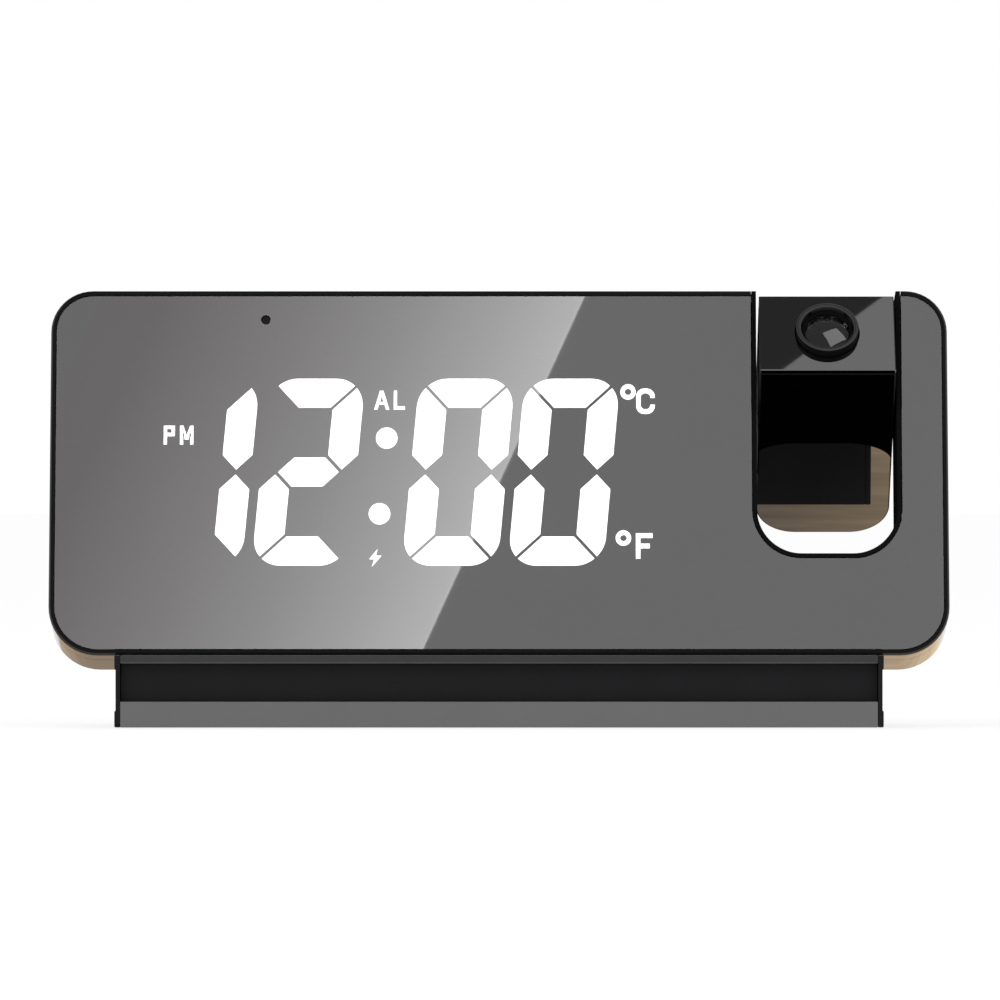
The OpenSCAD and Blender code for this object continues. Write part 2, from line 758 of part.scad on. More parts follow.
dot_places = [for (side = [-1, 1]) slanted([0, side * colon_rise - colon_sink], -colon_left, digit_mid)];
module dot_shapes(grow) for (place = dot_places) translate(place) circle(dot_r + grow);

module digit_frame() color([0.02, 0.02, 0.02]) in_body() difference() {
    union() {
        slab(digit_frame_front, digit_frame_back) display_window(0);
        slab(ledge_back, digit_frame_back) display_window(frame_lip);
    }
    slab(0, body_d) digit_shapes(fit_gap / 2, true);
    slab(0, body_d) digit_shapes(fit_gap / 2, false);
    slab(0, body_d) dot_shapes(fit_gap / 2);
    for (well = sign_wells)
        slab(0, body_d) translate([well[0], well[1]]) square([well[2], well[3]]);
}

module lit_segments() color("white") in_body()
    slab(digit_frame_front, guide_back) digit_shapes(0, true);

module unlit_segments() color([0.1, 0.1, 0.1]) in_body()
    slab(digit_frame_front, guide_back) digit_shapes(0, false);

// Colon dots and signs, each on a thin sheet that fills its well
module indicator_segments() color("white") in_body() {
    slab(digit_frame_front, guide_back) dot_shapes(0);
    slab(digit_frame_front, digit_frame_front + 0.6) sign_shapes();
    for (well = sign_wells)
        slab(digit_frame_front + 0.5, guide_back)
            translate([well[0] + fit_gap, well[1] + fit_gap])
                square([well[2] - 2 * fit_gap, well[3] - 2 * fit_gap]);
}

// Middle of a segment, from the middle of its digit
function segment_mid(name) = let (
    side = (digit_w - segment_w) / 2, rise = digit_h / 4, high = (digit_h - segment_w) / 2
) name == "a" ? [0, high] : name == "b" ? [side, rise] : name == "c" ? [side, -rise] :
    name == "d" ? [0, -high] : name == "e" ? [-side, -rise] : name == "f" ? [-side, rise] : [0, 0];

module segment_led(p) translate([p[0], digit_frame_back - led_h / 2, p[1]])
    cube([led_size, led_h, led_size], center = true);

module segment_leds() color([0.95, 0.9, 0.6]) in_body() {
    for (digit = [0 : 3], name = fitted[digit])
        segment_led(slanted(segment_mid(name), digit_xs[digit], digit_mid));
    for (place = dot_places) segment_led(place);
    for (well = sign_wells) segment_led([well[0] + well[2] / 2, well[1] + well[3] / 2]);
}

module display_board() color([0.05, 0.25, 0.12]) in_body() slab(digit_frame_back, display_back) {
    display_window(frame_lip);
    translate([-sensor_left - sensor_tab_w / 2, display_high])
        square([sensor_tab_w, sensor_z + sensor_tab_over - display_high]);
}

module light_sensor() color([0.1, 0.1, 0.14]) in_body() {
    sensor_hole(sensor_bore - 2 * fit_gap, lens_t * 0.4, digit_frame_back);
    translate([-sensor_left, 0, sensor_z])
        block([-1.6, ledge_back + fit_gap, -1.6], [1.6, digit_frame_back, 1.6]);
}

// ---------- Boards and controls ----------

module main_board() color([0.05, 0.3, 0.15]) in_body() difference() {
    block([board_left, board_front, board_bottom], [board_left + board_w, board_back, board_top]);
    for (x = board_post_xs)
        rod_y(x, board_front - past, board_post_z, screw_d + 2 * fit_gap, board_t + 2 * past);
}

module board_screws() color("silver") in_body()
    for (x = board_post_xs) screw_y(x, board_back + screw_head_h, board_post_z, board_t + board_screw_grip);

// Chips, capacitors and plugs on the side of the main board that faces the display
module board_parts() color([0.15, 0.15, 0.17]) in_body() {
    for (x = [for (i = [0 : 2]) board_left + chip_in + i * chip_pitch]) {
        block([x, board_front - chip_t, chip_z], [x + chip_w, board_front, chip_z + chip_h]);
        rod_y(x + chip_in, board_front - capacitor_h, chip_z + chip_h / 2, capacitor_d, capacitor_h);
    }
    for (x = plug_xs)
        block([x - plug_w / 2, board_front - plug_t, plug_z],
            [x + plug_w / 2, board_front, plug_z + plug_h]);
}

module button_switches() color([0.1, 0.1, 0.1]) in_body()
    for (i = [0 : 4]) translate([button_x0 + (i - 2) * button_pitch, board_back, button_z]) {
        block([-switch_w / 2, 0, -switch_w / 2], [switch_w / 2, switch_h, switch_w / 2]);
        rod_y(0, switch_h - 0.3, 0, plunger_d, plunger_h + 0.3);
    }

module snooze_switch() color([0.12, 0.12, 0.12]) in_body() {
    block([-3, board_front - 3.6, snooze_switch_top - 4.4], [3, board_front, snooze_switch_top - 0.7]);
    translate([0, board_front - 1.8, snooze_switch_top - 1]) cylinder(d = 2.2, h = 1);
}

module snooze_bar() color([0.05, 0.05, 0.05]) in_body() {
    block([-snooze_w / 2, snooze_y - snooze_d / 2, snooze_flange_top - 0.5],
        [snooze_w / 2, snooze_y + snooze_d / 2, body_h + snooze_proud]);
    block([-snooze_w / 2 - snooze_flange_over, snooze_y - snooze_d / 2 - snooze_flange_over,
            snooze_flange_top - snooze_flange_t],
        [snooze_w / 2 + snooze_flange_over, snooze_y + snooze_d / 2 + snooze_flange_over,
            snooze_flange_top]);
}

// One rear button; place counts from the left as seen from the front
module rear_button(place) color([0.12, 0.12, 0.12]) in_body()
    translate([button_x0 + (place - 2) * button_pitch, button_flange_in, button_z]) {
        rod_y(0, 0, 0, button_d + 2, button_flange_t);
        rod_y(0, 0.4, 0, button_d, body_d + button_proud - button_flange_in - 0.4);
    }

module mode_button() rear_button(4);
module set_button() rear_button(3);
module plus_button() rear_button(2);
module minus_button() rear_button(1);
module projection_button() rear_button(0);

// ---------- Speaker, batteries and power ----------

module speaker() color([0.2, 0.2, 0.22]) in_body() {
    back = cover_inner - gasket_t;
    difference() {
        rod_y(speaker_right, back - 1.2, speaker_z, speaker_d, 1.2);
        rod_y(speaker_right, back - 0.8, speaker_z, speaker_d - 4, 1);
    }
    rod_y(speaker_right, back - 3, speaker_z, speaker_d * 0.7, 2);
    rod_y(speaker_right, back - speaker_t, speaker_z, speaker_d / 2, 3);
    rod_y(speaker_right, back - 1, speaker_z, speaker_d / 4, 0.8);
}

module speaker_gasket() color([0.15, 0.15, 0.15]) in_body() difference() {
    rod_y(speaker_right, cover_inner - gasket_t, speaker_z, speaker_d, gasket_t);
    rod_y(speaker_right, cover_inner - gasket_t - past, speaker_z, speaker_d - 4, gasket_t + 2 * past);
}

// Cells lie head to tail; turned cells have their button end at the left
module battery_cells() color([0.1, 0.3, 0.55]) in_body()
    for (i = [0, 1]) translate([-bay_left, cell_y, cell_zs[i]]) mirror([i, 0, 0])
        translate([bay_l / 2 - contact_t - 0.1 - cell_len, 0, 0]) {
            rod_x(0, cell_len - 1, cell_d);
            rod_x(cell_len - 1.2, cell_len, 3.8);
        }

// A coil of round wire: radius shrinks from r0 to r1 over the length
function coil_ring(i, r0, r1) = let (
    part = i / coil_steps, a = 360 * coil_turns * part, r = r0 + (r1 - r0) * part
) [for (s = [0 : wire_sides - 1]) let (b = 360 * s / wire_sides, q = r + wire_r * cos(b))
    [spring_room * part + wire_r * sin(b), q * cos(a), q * sin(a)]];
module coil_spring(r0, r1) polyhedron(
    points = [for (i = [0 : coil_steps]) each coil_ring(i, r0, r1)],
    faces = concat(
        [[for (s = [0 : wire_sides - 1]) s]],
        [[for (s = [wire_sides - 1 : -1 : 0]) coil_steps * wire_sides + s]],
        [for (i = [0 : coil_steps - 1], s = [0 : wire_sides - 1]) let (n = (s + 1) % wire_sides)
            [i * wire_sides + s, (i + 1) * wire_sides + s, (i + 1) * wire_sides + n, i * wire_sides + n]]
    )
);

module battery_springs() color("silver") in_body()
    for (i = [0, 1]) translate([-bay_left, cell_y, cell_zs[i]]) rotate([0, 0, 180 * i])
        translate([-bay_l / 2 + contact_t + wire_r + 0.05, 0, 0]) coil_spring(3.6, 2.2);

module battery_plates() color("silver") in_body() {
    for (i = [0, 1], x = [bay_start, bay_start + bay_l - contact_t])
        block([x, cell_y - contact_w / 2, cell_zs[i] - contact_w / 2],
            [x + contact_t, cell_y + contact_w / 2, cell_zs[i] + contact_w / 2]);
}

module battery_door() color([0.05, 0.05, 0.05]) in_body() difference() {
    union() {
        bay_box(door_over, door_front, body_d);
        for (side = [-1, 1]) translate([-bay_left + side * door_l / 4, door_front, door_low])
            block([-tab_w / 2, door_front - cover_inner - move_gap - tab_t - 0.4, -tab_reach],
                [tab_w / 2, door_front - cover_inner - move_gap - 0.4, door_over + 0.2]);
        for (side = [-1, 1]) translate([-bay_left + side * door_l / 4, door_front, door_low])
            block([-tab_w / 2, door_front - cover_inner - move_gap - tab_t - 0.4, 0],
                [tab_w / 2, 0.5, door_over + 0.2]);
    }
    for (side = [-1, 1]) translate([-bay_left + side * 5, 0, 0])
        block([-0.5, door_front - past, bay_mid_z + bay_h / 2 - 4],
            [0.5, body_d + past, bay_mid_z + bay_h / 2 + door_over - 0.6]);
    for (i = [0 : 3])
        block([-bay_left - 3.6, body_d - 0.5, bay_mid_z + bay_h / 2 - 3.6 + 1.2 * i],
            [-bay_left + 3.6, body_d + past, bay_mid_z + bay_h / 2 - 3 + 1.2 * i]);
}

module power_board() color([0.05, 0.3, 0.15]) in_body()
    block([slot_x - power_board_w / 2, shell_back - 2.6 - power_board_d + 4, socket_z - board_t],
        [slot_x + power_board_w / 2, shell_back + 1, socket_z]);

// Hollow metal shell of the inlet, with its contact tongue
module power_socket() color("silver") in_body() translate([slot_x, body_d - socket_len, 0]) {
    mid = socket_z + socket_h / 2;
    difference() {
        slab(0, socket_len) rounded_rect(-socket_w / 2, socket_z, socket_w, socket_h, 1.5);
        slab(1, socket_len + past)
            rounded_rect(-socket_w / 2 + 0.35, socket_z + 0.35, socket_w - 0.7, socket_h - 0.7, 1.2);
    }
    block([-3.3, 0.5, mid - 0.35], [3.3, socket_len - 1, mid + 0.35]);
}

// ---------- Leads ----------

// Smooth curve through a list of points
function curve_point(a, b, c, d, t) = 0.5 * (2 * b + (c - a) * t + (2 * a - 5 * b + 4 * c - d) * t * t
    + (3 * b - a - 3 * c + d) * t * t * t);
function smooth_path(ps, steps = 5) = concat(
    [for (i = [0 : len(ps) - 2], s = [0 : steps - 1])
        curve_point(ps[max(i - 1, 0)], ps[i], ps[i + 1], ps[min(i + 2, len(ps) - 1)], s / steps)],
    [ps[len(ps) - 1]]
);

// Round lead along a path; level is a direction that the path never takes
function lead_ring(path, i, level) = let (
    along = path[min(i + 1, len(path) - 1)] - path[max(i - 1, 0)],
    side = cross(along, level) / norm(cross(along, level)),
    rise = cross(side, along) / norm(along)
) [for (s = [0 : lead_sides - 1]) let (a = 360 * s / lead_sides)
    path[i] + lead_r * (cos(a) * side + sin(a) * rise)];
module lead(points, level) {
    path = smooth_path(points);
    polyhedron(
        points = [for (i = [0 : len(path) - 1]) each lead_ring(path, i, level)],
        faces = concat(
            [[for (s = [lead_sides - 1 : -1 : 0]) s]],
            [[for (s = [0 : lead_sides - 1]) (len(path) - 1) * lead_sides + s]],
            [for (i = [0 : len(path) - 2], s = [0 : lead_sides - 1])
                let (low = i * lead_sides, high = low + lead_sides, n = (s + 1) % lead_sides)
                [low + s, low + n, high + n, high + s]]
        )
    );
}

// Leads from the battery bay, the speaker and the power board to the main board
module board_leads() color([0.6, 0.1, 0.1]) in_body() {
    bay_side = bay_l / 2 - bay_left + rib_t + lead_r + 0.1;
    lead([[bay_side, cell_y, bay_mid_z + 2], [bay_side, cell_y - 0.2, bay_mid_z + 8],
        [bay_side + 0.6, lead_y, board_bottom - 5], [plug_xs[0], lead_y, lead_top]], [1, 0, 0]);
    lead([[speaker_right, cover_inner - 4.4, speaker_z + speaker_d * 0.3],
        [speaker_right, lead_y, speaker_z + speaker_d * 0.5],
        [plug_xs[1] + 2, lead_y - 1, board_bottom - 5], [plug_xs[1], lead_y, lead_top]], [0, 1, 0.3]);
    lead([[slot_x - 5, shell_back - 8.4, socket_z + lead_r + 0.1],
        [beside_slot - 1.5, lead_run_y, socket_z + 3], [beside_slot - 7.5, lead_run_y, speaker_z - 6],
        [beside_slot - 9.5, lead_run_y + 0.5, speaker_z + speaker_d / 2],
        [plug_xs[2] + 7, lead_y - 1, board_bottom - 5], [plug_xs[2], lead_y, lead_top]], [0, 1, 0]);
}

// Lead from the main board to the mouth of the hollow pivot pin
module projector_lead() color([0.15, 0.15, 0.15]) in_body()
    lead([[plug_xs[3], lead_y, lead_top], [plug_xs[3] + 2, lead_y, board_bottom - 3.5],
        [slot_x - pin_out - 6, pivot_y, board_bottom + 0.5], [slot_x - pin_out - 4, pivot_y, pivot_z - 1.5],
        [slot_x - pin_out - 0.3, pivot_y, pivot_z]], [0, 1, 0]);

// The same lead inside the projector, from the pivot pin to the lamp board
module head_lead() color([0.15, 0.15, 0.15]) in_head() {
    down_x = -half_tunnel - move_gap - lead_r;
    lead([[-pin_out, 0, 0], [-pin_boss_in, 0, 0], [down_x - 0.6, 0, -0.2], [down_x, 0, -2],
        [down_x, 0, -12], [down_x, 0, optics_z + 0.05]], [0, 1, 0]);
}

// ---------- Foot ----------

// Line of the foot's top, with the sloping seat for the body, from back to front
top_line = [
    [half_foot_d, foot_h], [seat_rear_y, foot_h], [seat_end_y, seat_end_z],
    [face_y, foot_h], [-half_foot_d, foot_h]
];
function ceiling_z(y) = foot_h - (y - face_y) * tan(lean_angle) - foot_wall / cos(lean_angle);

module foot_shell_profile() {
    wall_in = neck_y - foot_wall;
    step_y = seat_end_y + foot_wall;
    polygon(concat(top_line, [
        [-half_foot_d, flange_low], [-neck_y, flange_low], [-neck_y, lip_h], [-wall_in, lip_h],
        [-wall_in, ceiling_z(-wall_in)], [step_y, ceiling_z(step_y)], [step_y, foot_h - foot_wall],
        [wall_in, foot_h - foot_wall], [wall_in, lip_h], [neck_y, lip_h], [neck_y, flange_low],
        [half_foot_d, flange_low]
    ]));
}

module foot_screw_places() for (x = [-foot_screw_x, foot_screw_x], y = [-foot_screw_y, foot_screw_y])
    translate([x, y, 0]) children();

// Holes for the two screws that hold the body on its seat
module seat_screw_places() in_body() for (side = [-1, 1])
    translate([side * seat_screw_x, seat_screw_y, 0]) children();

module foot_shell() color([0.1, 0.1, 0.11]) difference() {
    union() {
        along_x(-foot_inner, foot_inner) foot_shell_profile();
        intersection() {
            foot_screw_places() translate([0, 0, lip_h]) cylinder(d = post_d, h = foot_h - lip_h);
            along_x(-foot_inner, foot_inner)
                polygon(concat(top_line, [[-half_foot_d, lip_h], [half_foot_d, lip_h]]));
        }
    }
    foot_screw_places() translate([0, 0, lip_h - past]) cylinder(d = screw_d + fit_gap, h = past + 3.8);
    seat_screw_places() translate([0, 0, -foot_wall - past])
        cylinder(d = screw_d + 2 * fit_gap, h = foot_wall + 2 * past);
}

module seat_screws() color("dimgray") seat_screw_places() {
    translate([0, 0, -foot_wall - screw_head_h]) difference() {
        cylinder(d = screw_head_d, h = screw_head_h);
        for (turn = [0, 90]) rotate([0, 0, turn])
            cube([screw_head_d * 0.62, 0.5, screw_head_h], center = true);
    }
    translate([0, 0, -foot_wall - 0.2]) cylinder(d = screw_d, h = foot_wall + seat_screw_len - 0.8);
}

module foot_band() color([0.07, 0.07, 0.075])
    block([-foot_inner + fit_gap, -neck_y - band_t, lip_h + 0.05],
        [foot_inner - fit_gap, -neck_y, flange_low - 0.05]);

module foot_base() color([0.3, 0.3, 0.3]) difference() {
    union() {
        difference() {
            block([-foot_inner, -half_foot_d, pad_proud], [foot_inner, half_foot_d, lip_h]);
            block([-foot_inner + foot_wall, -neck_y + foot_wall + fit_gap, base_floor],
                [foot_inner - foot_wall, neck_y - foot_wall - fit_gap, lip_h + past]);
        }
        foot_screw_places() translate([0, 0, base_floor - 0.5])
            cylinder(d = screw_head_d + 3, h = lip_h - base_floor + 0.5);
    }
    block([-pad_w / 2 - fit_gap, -pad_d / 2 - fit_gap, -past],
        [pad_w / 2 + fit_gap, pad_d / 2 + fit_gap, pad_t]);
    foot_screw_places() {
        cylinder(d = screw_d + 2 * fit_gap, h = lip_h + past);
        cylinder(d = screw_head_d + 2 * fit_gap, h = pad_proud + screw_sink);
    }
}

module foot_screws() color("dimgray") foot_screw_places() {
    translate([0, 0, pad_proud + screw_sink - screw_head_h]) difference() {
        cylinder(d = screw_head_d, h = screw_head_h);
        for (turn = [0, 90]) rotate([0, 0, turn])
            cube([screw_head_d * 0.62, 0.5, screw_head_h], center = true);
    }
    translate([0, 0, pad_proud + screw_sink - 0.2])
        cylinder(d = screw_d, h = lip_h - pad_proud - screw_sink + 3.5);
}

module foot_pad() color([0.13, 0.13, 0.13])
    block([-pad_w / 2, -pad_d / 2, 0], [pad_w / 2, pad_d / 2, pad_t]);

// One cap: a plate with a shallow waist and a plug that sits in the shell
module end_cap() {
    relief = 0.25;
    profile_low = pad_proud + 0.6;
    difference() {
        union() {
            along_x(foot_inner, foot_inner + cap_t) polygon(concat(top_line, [
                [-half_foot_d, profile_low], [-half_foot_d + 0.6, pad_proud],
                [half_foot_d - 0.6, pad_proud], [half_foot_d, profile_low]
            ]));
            block([foot_inner - 3, -neck_y + foot_wall + fit_gap, lip_h + fit_gap],
                [foot_inner + 0.2, neck_y - foot_wall - fit_gap, lip_h + 2.4]);
        }
        block([foot_inner + cap_t - relief, -half_foot_d - past, lip_h - 2],
            [foot_inner + cap_t + past, half_foot_d + past, flange_low - 1.2]);
    }
}

module foot_end_caps() color([0.03, 0.03, 0.03]) for (side = [0, 1]) mirror([side, 0, 0]) end_cap();

// ---------- Projector ----------

module projector_case() color([0.03, 0.03, 0.03]) in_head() difference() {
    union() {
        slab(plate_t - half_head_d, half_head_d - plate_t) difference() {
            head_outline(0, case_top);
            head_outline(case_wall, case_top + past);
        }
        for (side = [0, 1]) mirror([side, 0, 0]) rod_x(pin_boss_in, half_head_w - 0.1, pin_d + 5);
        block([-half_head_w + 0.5, plate_t - half_head_d, shelf_z],
            [half_head_w - 0.5, half_head_d - plate_t, shelf_z + shelf_t]);
        for (x = [-head_post_x, head_post_x], z = head_post_zs)
            rod_y(x, -half_head_d / 2, z, 4.3, 1.5 * half_head_d - plate_t);
    }
    for (side = [0, 1]) mirror([side, 0, 0]) {
        rod_x(pin_boss_in - past, half_head_w + past, pin_d + 2 * shaft_gap);
        rod_x(half_head_w - washer_sink, half_head_w + past, washer_d + 2 * fit_gap);
    }
    for (x = [-head_post_x, head_post_x], z = head_post_zs)
        rod_y(x, 0, z, head_screw_d + fit_gap, half_head_d);
}

module projector_front_plate() color([0.2, 0.2, 0.2]) in_head()
    slab(-half_head_d, plate_t - half_head_d) head_outline(0, case_top);

module projector_back_cover() color([0.03, 0.03, 0.03]) in_head() difference() {
    slab(half_head_d - plate_t, half_head_d) head_outline(0, case_top);
    for (x = [-head_post_x, head_post_x], z = head_post_zs) {
        rod_y(x, 0, z, head_screw_d + 2 * fit_gap, half_head_d + past);
        rod_y(x, half_head_d - 0.7, z, head_screw_head + 2 * fit_gap, 0.7 + past);
    }
}

module projector_screws() color("dimgray") in_head()
    for (x = [-head_post_x, head_post_x], z = head_post_zs) {
        difference() {
            rod_y(x, half_head_d - 0.7, z, head_screw_head, 0.6);
            for (turn = [0, 90]) translate([x, half_head_d - 0.1, z]) rotate([0, turn, 0])
                cube([1.8, 0.6, 0.35], center = true);
        }
        rod_y(x, 1, z, head_screw_d, half_head_d - 1.6);
    }

module projector_lens_plate() color([0.15, 0.15, 0.15]) in_head() difference() {
    block([-half_head_w, -half_head_d, case_top], [half_head_w, half_head_d, pivot_drop]);
    translate([0, 0, case_top - past]) cylinder(d = ring_d + 2 * ring_fit, h = plate_t + 2 * past);
}

module pivot_pins() color("silver") in_head() for (side = [0, 1]) mirror([side, 0, 0]) difference() {
    union() {
        rod_x(pin_boss_in - 0.3, pin_out, pin_d);
        rod_x(pin_boss_in - pin_head_fit - pin_head_t, pin_boss_in - pin_head_fit, pin_d + 2.5);
    }
    rod_x(pin_boss_in - pin_head_t - past, pin_out + past, pin_bore);
}

module friction_washers() color([0.85, 0.85, 0.8]) in_head() for (side = [0, 1]) mirror([side, 0, 0])
    difference() {
        rod_x(half_head_w - washer_sink, half_head_w - washer_sink + washer_t, washer_d);
        rod_x(half_head_w - past - washer_sink, half_head_w + past, pin_d + 2 * shaft_gap);
    }

module focus_ring() color([0.02, 0.02, 0.02]) in_head() difference() {
    union() {
        translate([0, 0, ring_flange_z])
            cylinder(d = ring_d, h = pivot_drop + ring_proud - ring_flange_z);
        translate([0, 0, ring_flange_z]) cylinder(d = ring_d + 2, h = ring_flange_t);
    }
    translate([0, 0, ring_flange_z - past]) cylinder(d = ring_bore, h = 12);
}

module lens_barrel() color([0.05, 0.05, 0.05]) in_head() difference() {
    translate([0, 0, barrel_low]) cylinder(d = barrel_d, h = barrel_top - barrel_low);
    translate([0, 0, barrel_low - past]) cylinder(d = barrel_d - 3, h = barrel_top - barrel_low + 2 * past);
    translate([0, 0, barrel_top - 0.2 - objective_t])
        cylinder(d = objective_d + 2 * fit_gap, h = objective_t + past);
    translate([0, 0, barrel_low - past])
        cylinder(d = objective_d - 0.8 + 2 * fit_gap, h = past + 3.4);
}

// Flat-backed round lens of diameter d, thickness t and face radius r, flat side down
module lens_solid(d, t, r) intersection() {
    cylinder(d = d, h = t);
    translate([0, 0, t - r]) sphere(r);
}

module objective_lens() color([0.6, 0.7, 0.8]) in_head()
    translate([0, 0, barrel_top - 0.2 - objective_t]) lens_solid(objective_d, objective_t, objective_d);

module rear_lens() color([0.6, 0.7, 0.8]) in_head()
    translate([0, 0, barrel_low + 0.4]) lens_solid(objective_d - 0.8, 2, objective_d);

module optics_frame() color([0.06, 0.06, 0.06]) in_head() {
    shoulder = 2;
    difference() {
        union() {
            translate([0, 0, optics_z]) cylinder(r = half_tunnel, h = shoulder - optics_z);
            translate([0, 0, shoulder - 0.5])
                cylinder(d = barrel_d + 2 * ring_fit + 2 * optics_wall, h = sleeve_top - shoulder + 0.5);
            block([-half_head_w + case_wall + 1, -half_head_d + plate_t + 1, optics_z],
                [half_head_w - case_wall - 1, half_head_d - plate_t - 1, optics_z + shelf_t]);
        }
        translate([0, 0, optics_z - past])
            cylinder(d = tunnel_bore, h = shoulder - shelf_t - optics_z + past);
        cylinder(d = barrel_d + 2 * ring_fit, h = sleeve_top + past);
        block([-half_head_w, -lead_r - move_gap, optics_z - past],
            [-half_tunnel - move_gap, lead_r + move_gap, optics_z + shelf_t + past]);
    }
}

module condenser_lens() color([0.7, 0.8, 0.85]) in_head()
    translate([0, 0, condenser_z]) lens_solid(tunnel_bore - 2 * fit_gap, condenser_t, condenser_r);

module lcd_slide() color([0.3, 0.35, 0.3]) in_head() translate([0, 0, slide_z])
    cube([tunnel_bore * 0.69, tunnel_bore * 0.69, slide_t], center = true);

module projection_led() color([0.9, 0.9, 0.95]) in_head() translate([0, 0, optics_z]) {
    cylinder(d = 5.8, h = 1);
    cylinder(d = 5, h = 3.2);
    translate([0, 0, 3.2]) sphere(d = 5);
}

module led_board() color([0.05, 0.3, 0.15]) in_head()
    block([-half_head_w + case_wall + 2, -half_head_d + plate_t + 1.4, led_board_z],
        [half_head_w - case_wall - 2, half_head_d - plate_t - 1.4, optics_z]);

front_lens();
front_bezel();
slot_liner();
body_shell();
rear_cover();
digit_frame();
lit_segments();
unlit_segments();
indicator_segments();
segment_leds();
display_board();
light_sensor();
main_board();
board_parts();
board_screws();
button_switches();
snooze_switch();
snooze_bar();
mode_button();
set_button();
plus_button();
minus_button();
projection_button();
speaker();
speaker_gasket();
battery_cells();
battery_springs();
battery_plates();
battery_door();
power_board();
power_socket();
cover_screws();
hinge_bushes();
foot_shell();
foot_band();
foot_base();
foot_end_caps();
foot_pad();
foot_screws();
seat_screws();
projector_case();
projector_front_plate();
projector_lens_plate();
projector_back_cover();
projector_screws();
pivot_pins();
friction_washers();
focus_ring();
lens_barrel();
objective_lens();
rear_lens();
optics_frame();
condenser_lens();
lcd_slide();
projection_led();
led_board();
board_leads();
projector_lead();
head_lead();
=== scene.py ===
"""Dresses a mirror-front desk alarm clock, with its tilting projector, for a plain studio picture.

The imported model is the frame: every piece sits where its solid sits, in metres, and rides on the
body that the model gives it. Sub-assemblies are classes that hold their sizes, finishes are small
classes that draw one material each, and main() builds them in order.
"""
import json
import logging
import math
from contextlib import contextmanager
from dataclasses import dataclass, field
from enum import Enum
from typing import Any, Callable, Iterator, Mapping, Optional, Sequence, Union

import bmesh
import bpy
from mathutils import Matrix, Vector

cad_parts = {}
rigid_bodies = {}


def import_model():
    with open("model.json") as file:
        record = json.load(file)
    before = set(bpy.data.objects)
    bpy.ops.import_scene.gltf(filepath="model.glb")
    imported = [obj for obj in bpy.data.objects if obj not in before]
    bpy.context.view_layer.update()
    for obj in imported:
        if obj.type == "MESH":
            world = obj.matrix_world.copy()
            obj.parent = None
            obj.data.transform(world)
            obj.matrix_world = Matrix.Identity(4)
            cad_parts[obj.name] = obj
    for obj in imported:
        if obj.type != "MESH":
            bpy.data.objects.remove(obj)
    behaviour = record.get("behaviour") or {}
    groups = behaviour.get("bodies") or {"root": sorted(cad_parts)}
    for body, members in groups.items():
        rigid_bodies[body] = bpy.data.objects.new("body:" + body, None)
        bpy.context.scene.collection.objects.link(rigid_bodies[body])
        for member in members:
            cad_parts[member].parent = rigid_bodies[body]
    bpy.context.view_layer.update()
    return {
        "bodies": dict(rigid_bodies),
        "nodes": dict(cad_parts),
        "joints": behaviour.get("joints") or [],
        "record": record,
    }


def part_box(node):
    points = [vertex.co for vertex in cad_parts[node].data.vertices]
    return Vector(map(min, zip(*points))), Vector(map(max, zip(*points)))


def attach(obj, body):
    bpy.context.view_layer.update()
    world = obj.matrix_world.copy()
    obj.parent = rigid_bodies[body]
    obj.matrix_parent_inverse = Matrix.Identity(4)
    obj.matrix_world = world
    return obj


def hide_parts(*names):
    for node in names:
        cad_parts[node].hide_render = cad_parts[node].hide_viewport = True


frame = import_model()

MM = 0.001
MERGE_REACH = 1e-6  # metres, within which points are merged
FLAT_BEND = math.radians(0.4)  # faces that bend less lie in one plane
TOUCH = 0.02  # millimetres, within which two places are taken as one
FACING = 0.9  # cosine from which a face looks along an axis
SCREW_TURN = 37.0  # degrees from one screw's recess to the next one's
Colour = tuple[float, float, float]
Pairs = tuple[tuple[float, float], ...]
logging.basicConfig(level=logging.INFO, format="%(message)s")
log = logging.getLogger("clock")


# ---------- Frames of the clock ----------


def vector(values: Sequence[float]) -> Vector:
    """Three numbers as a vector."""
    return Vector((values[0], values[1], values[2]))


def axes(origin: Vector, right: Vector, back: Vector, up: Vector) -> Matrix:
    """A placing matrix from an origin and three axes.

    Args:
        origin: Where the local origin lies, in metres.
        right: Direction of the local X axis.
        back: Direction of the local Y axis.
        up: Direction of the local Z axis.

    Returns:
        The matrix that takes local points to the clock's frame.
    """
    turned = Matrix((right, back, up)).transposed().to_4x4()
    return Matrix.Translation(origin) @ turned


class Facing(Enum):
    """Where a piece's Z axis points from its frame: a turn about the frame's X axis, in degrees."""

    BACK = -90.0
    DOWN = 180.0


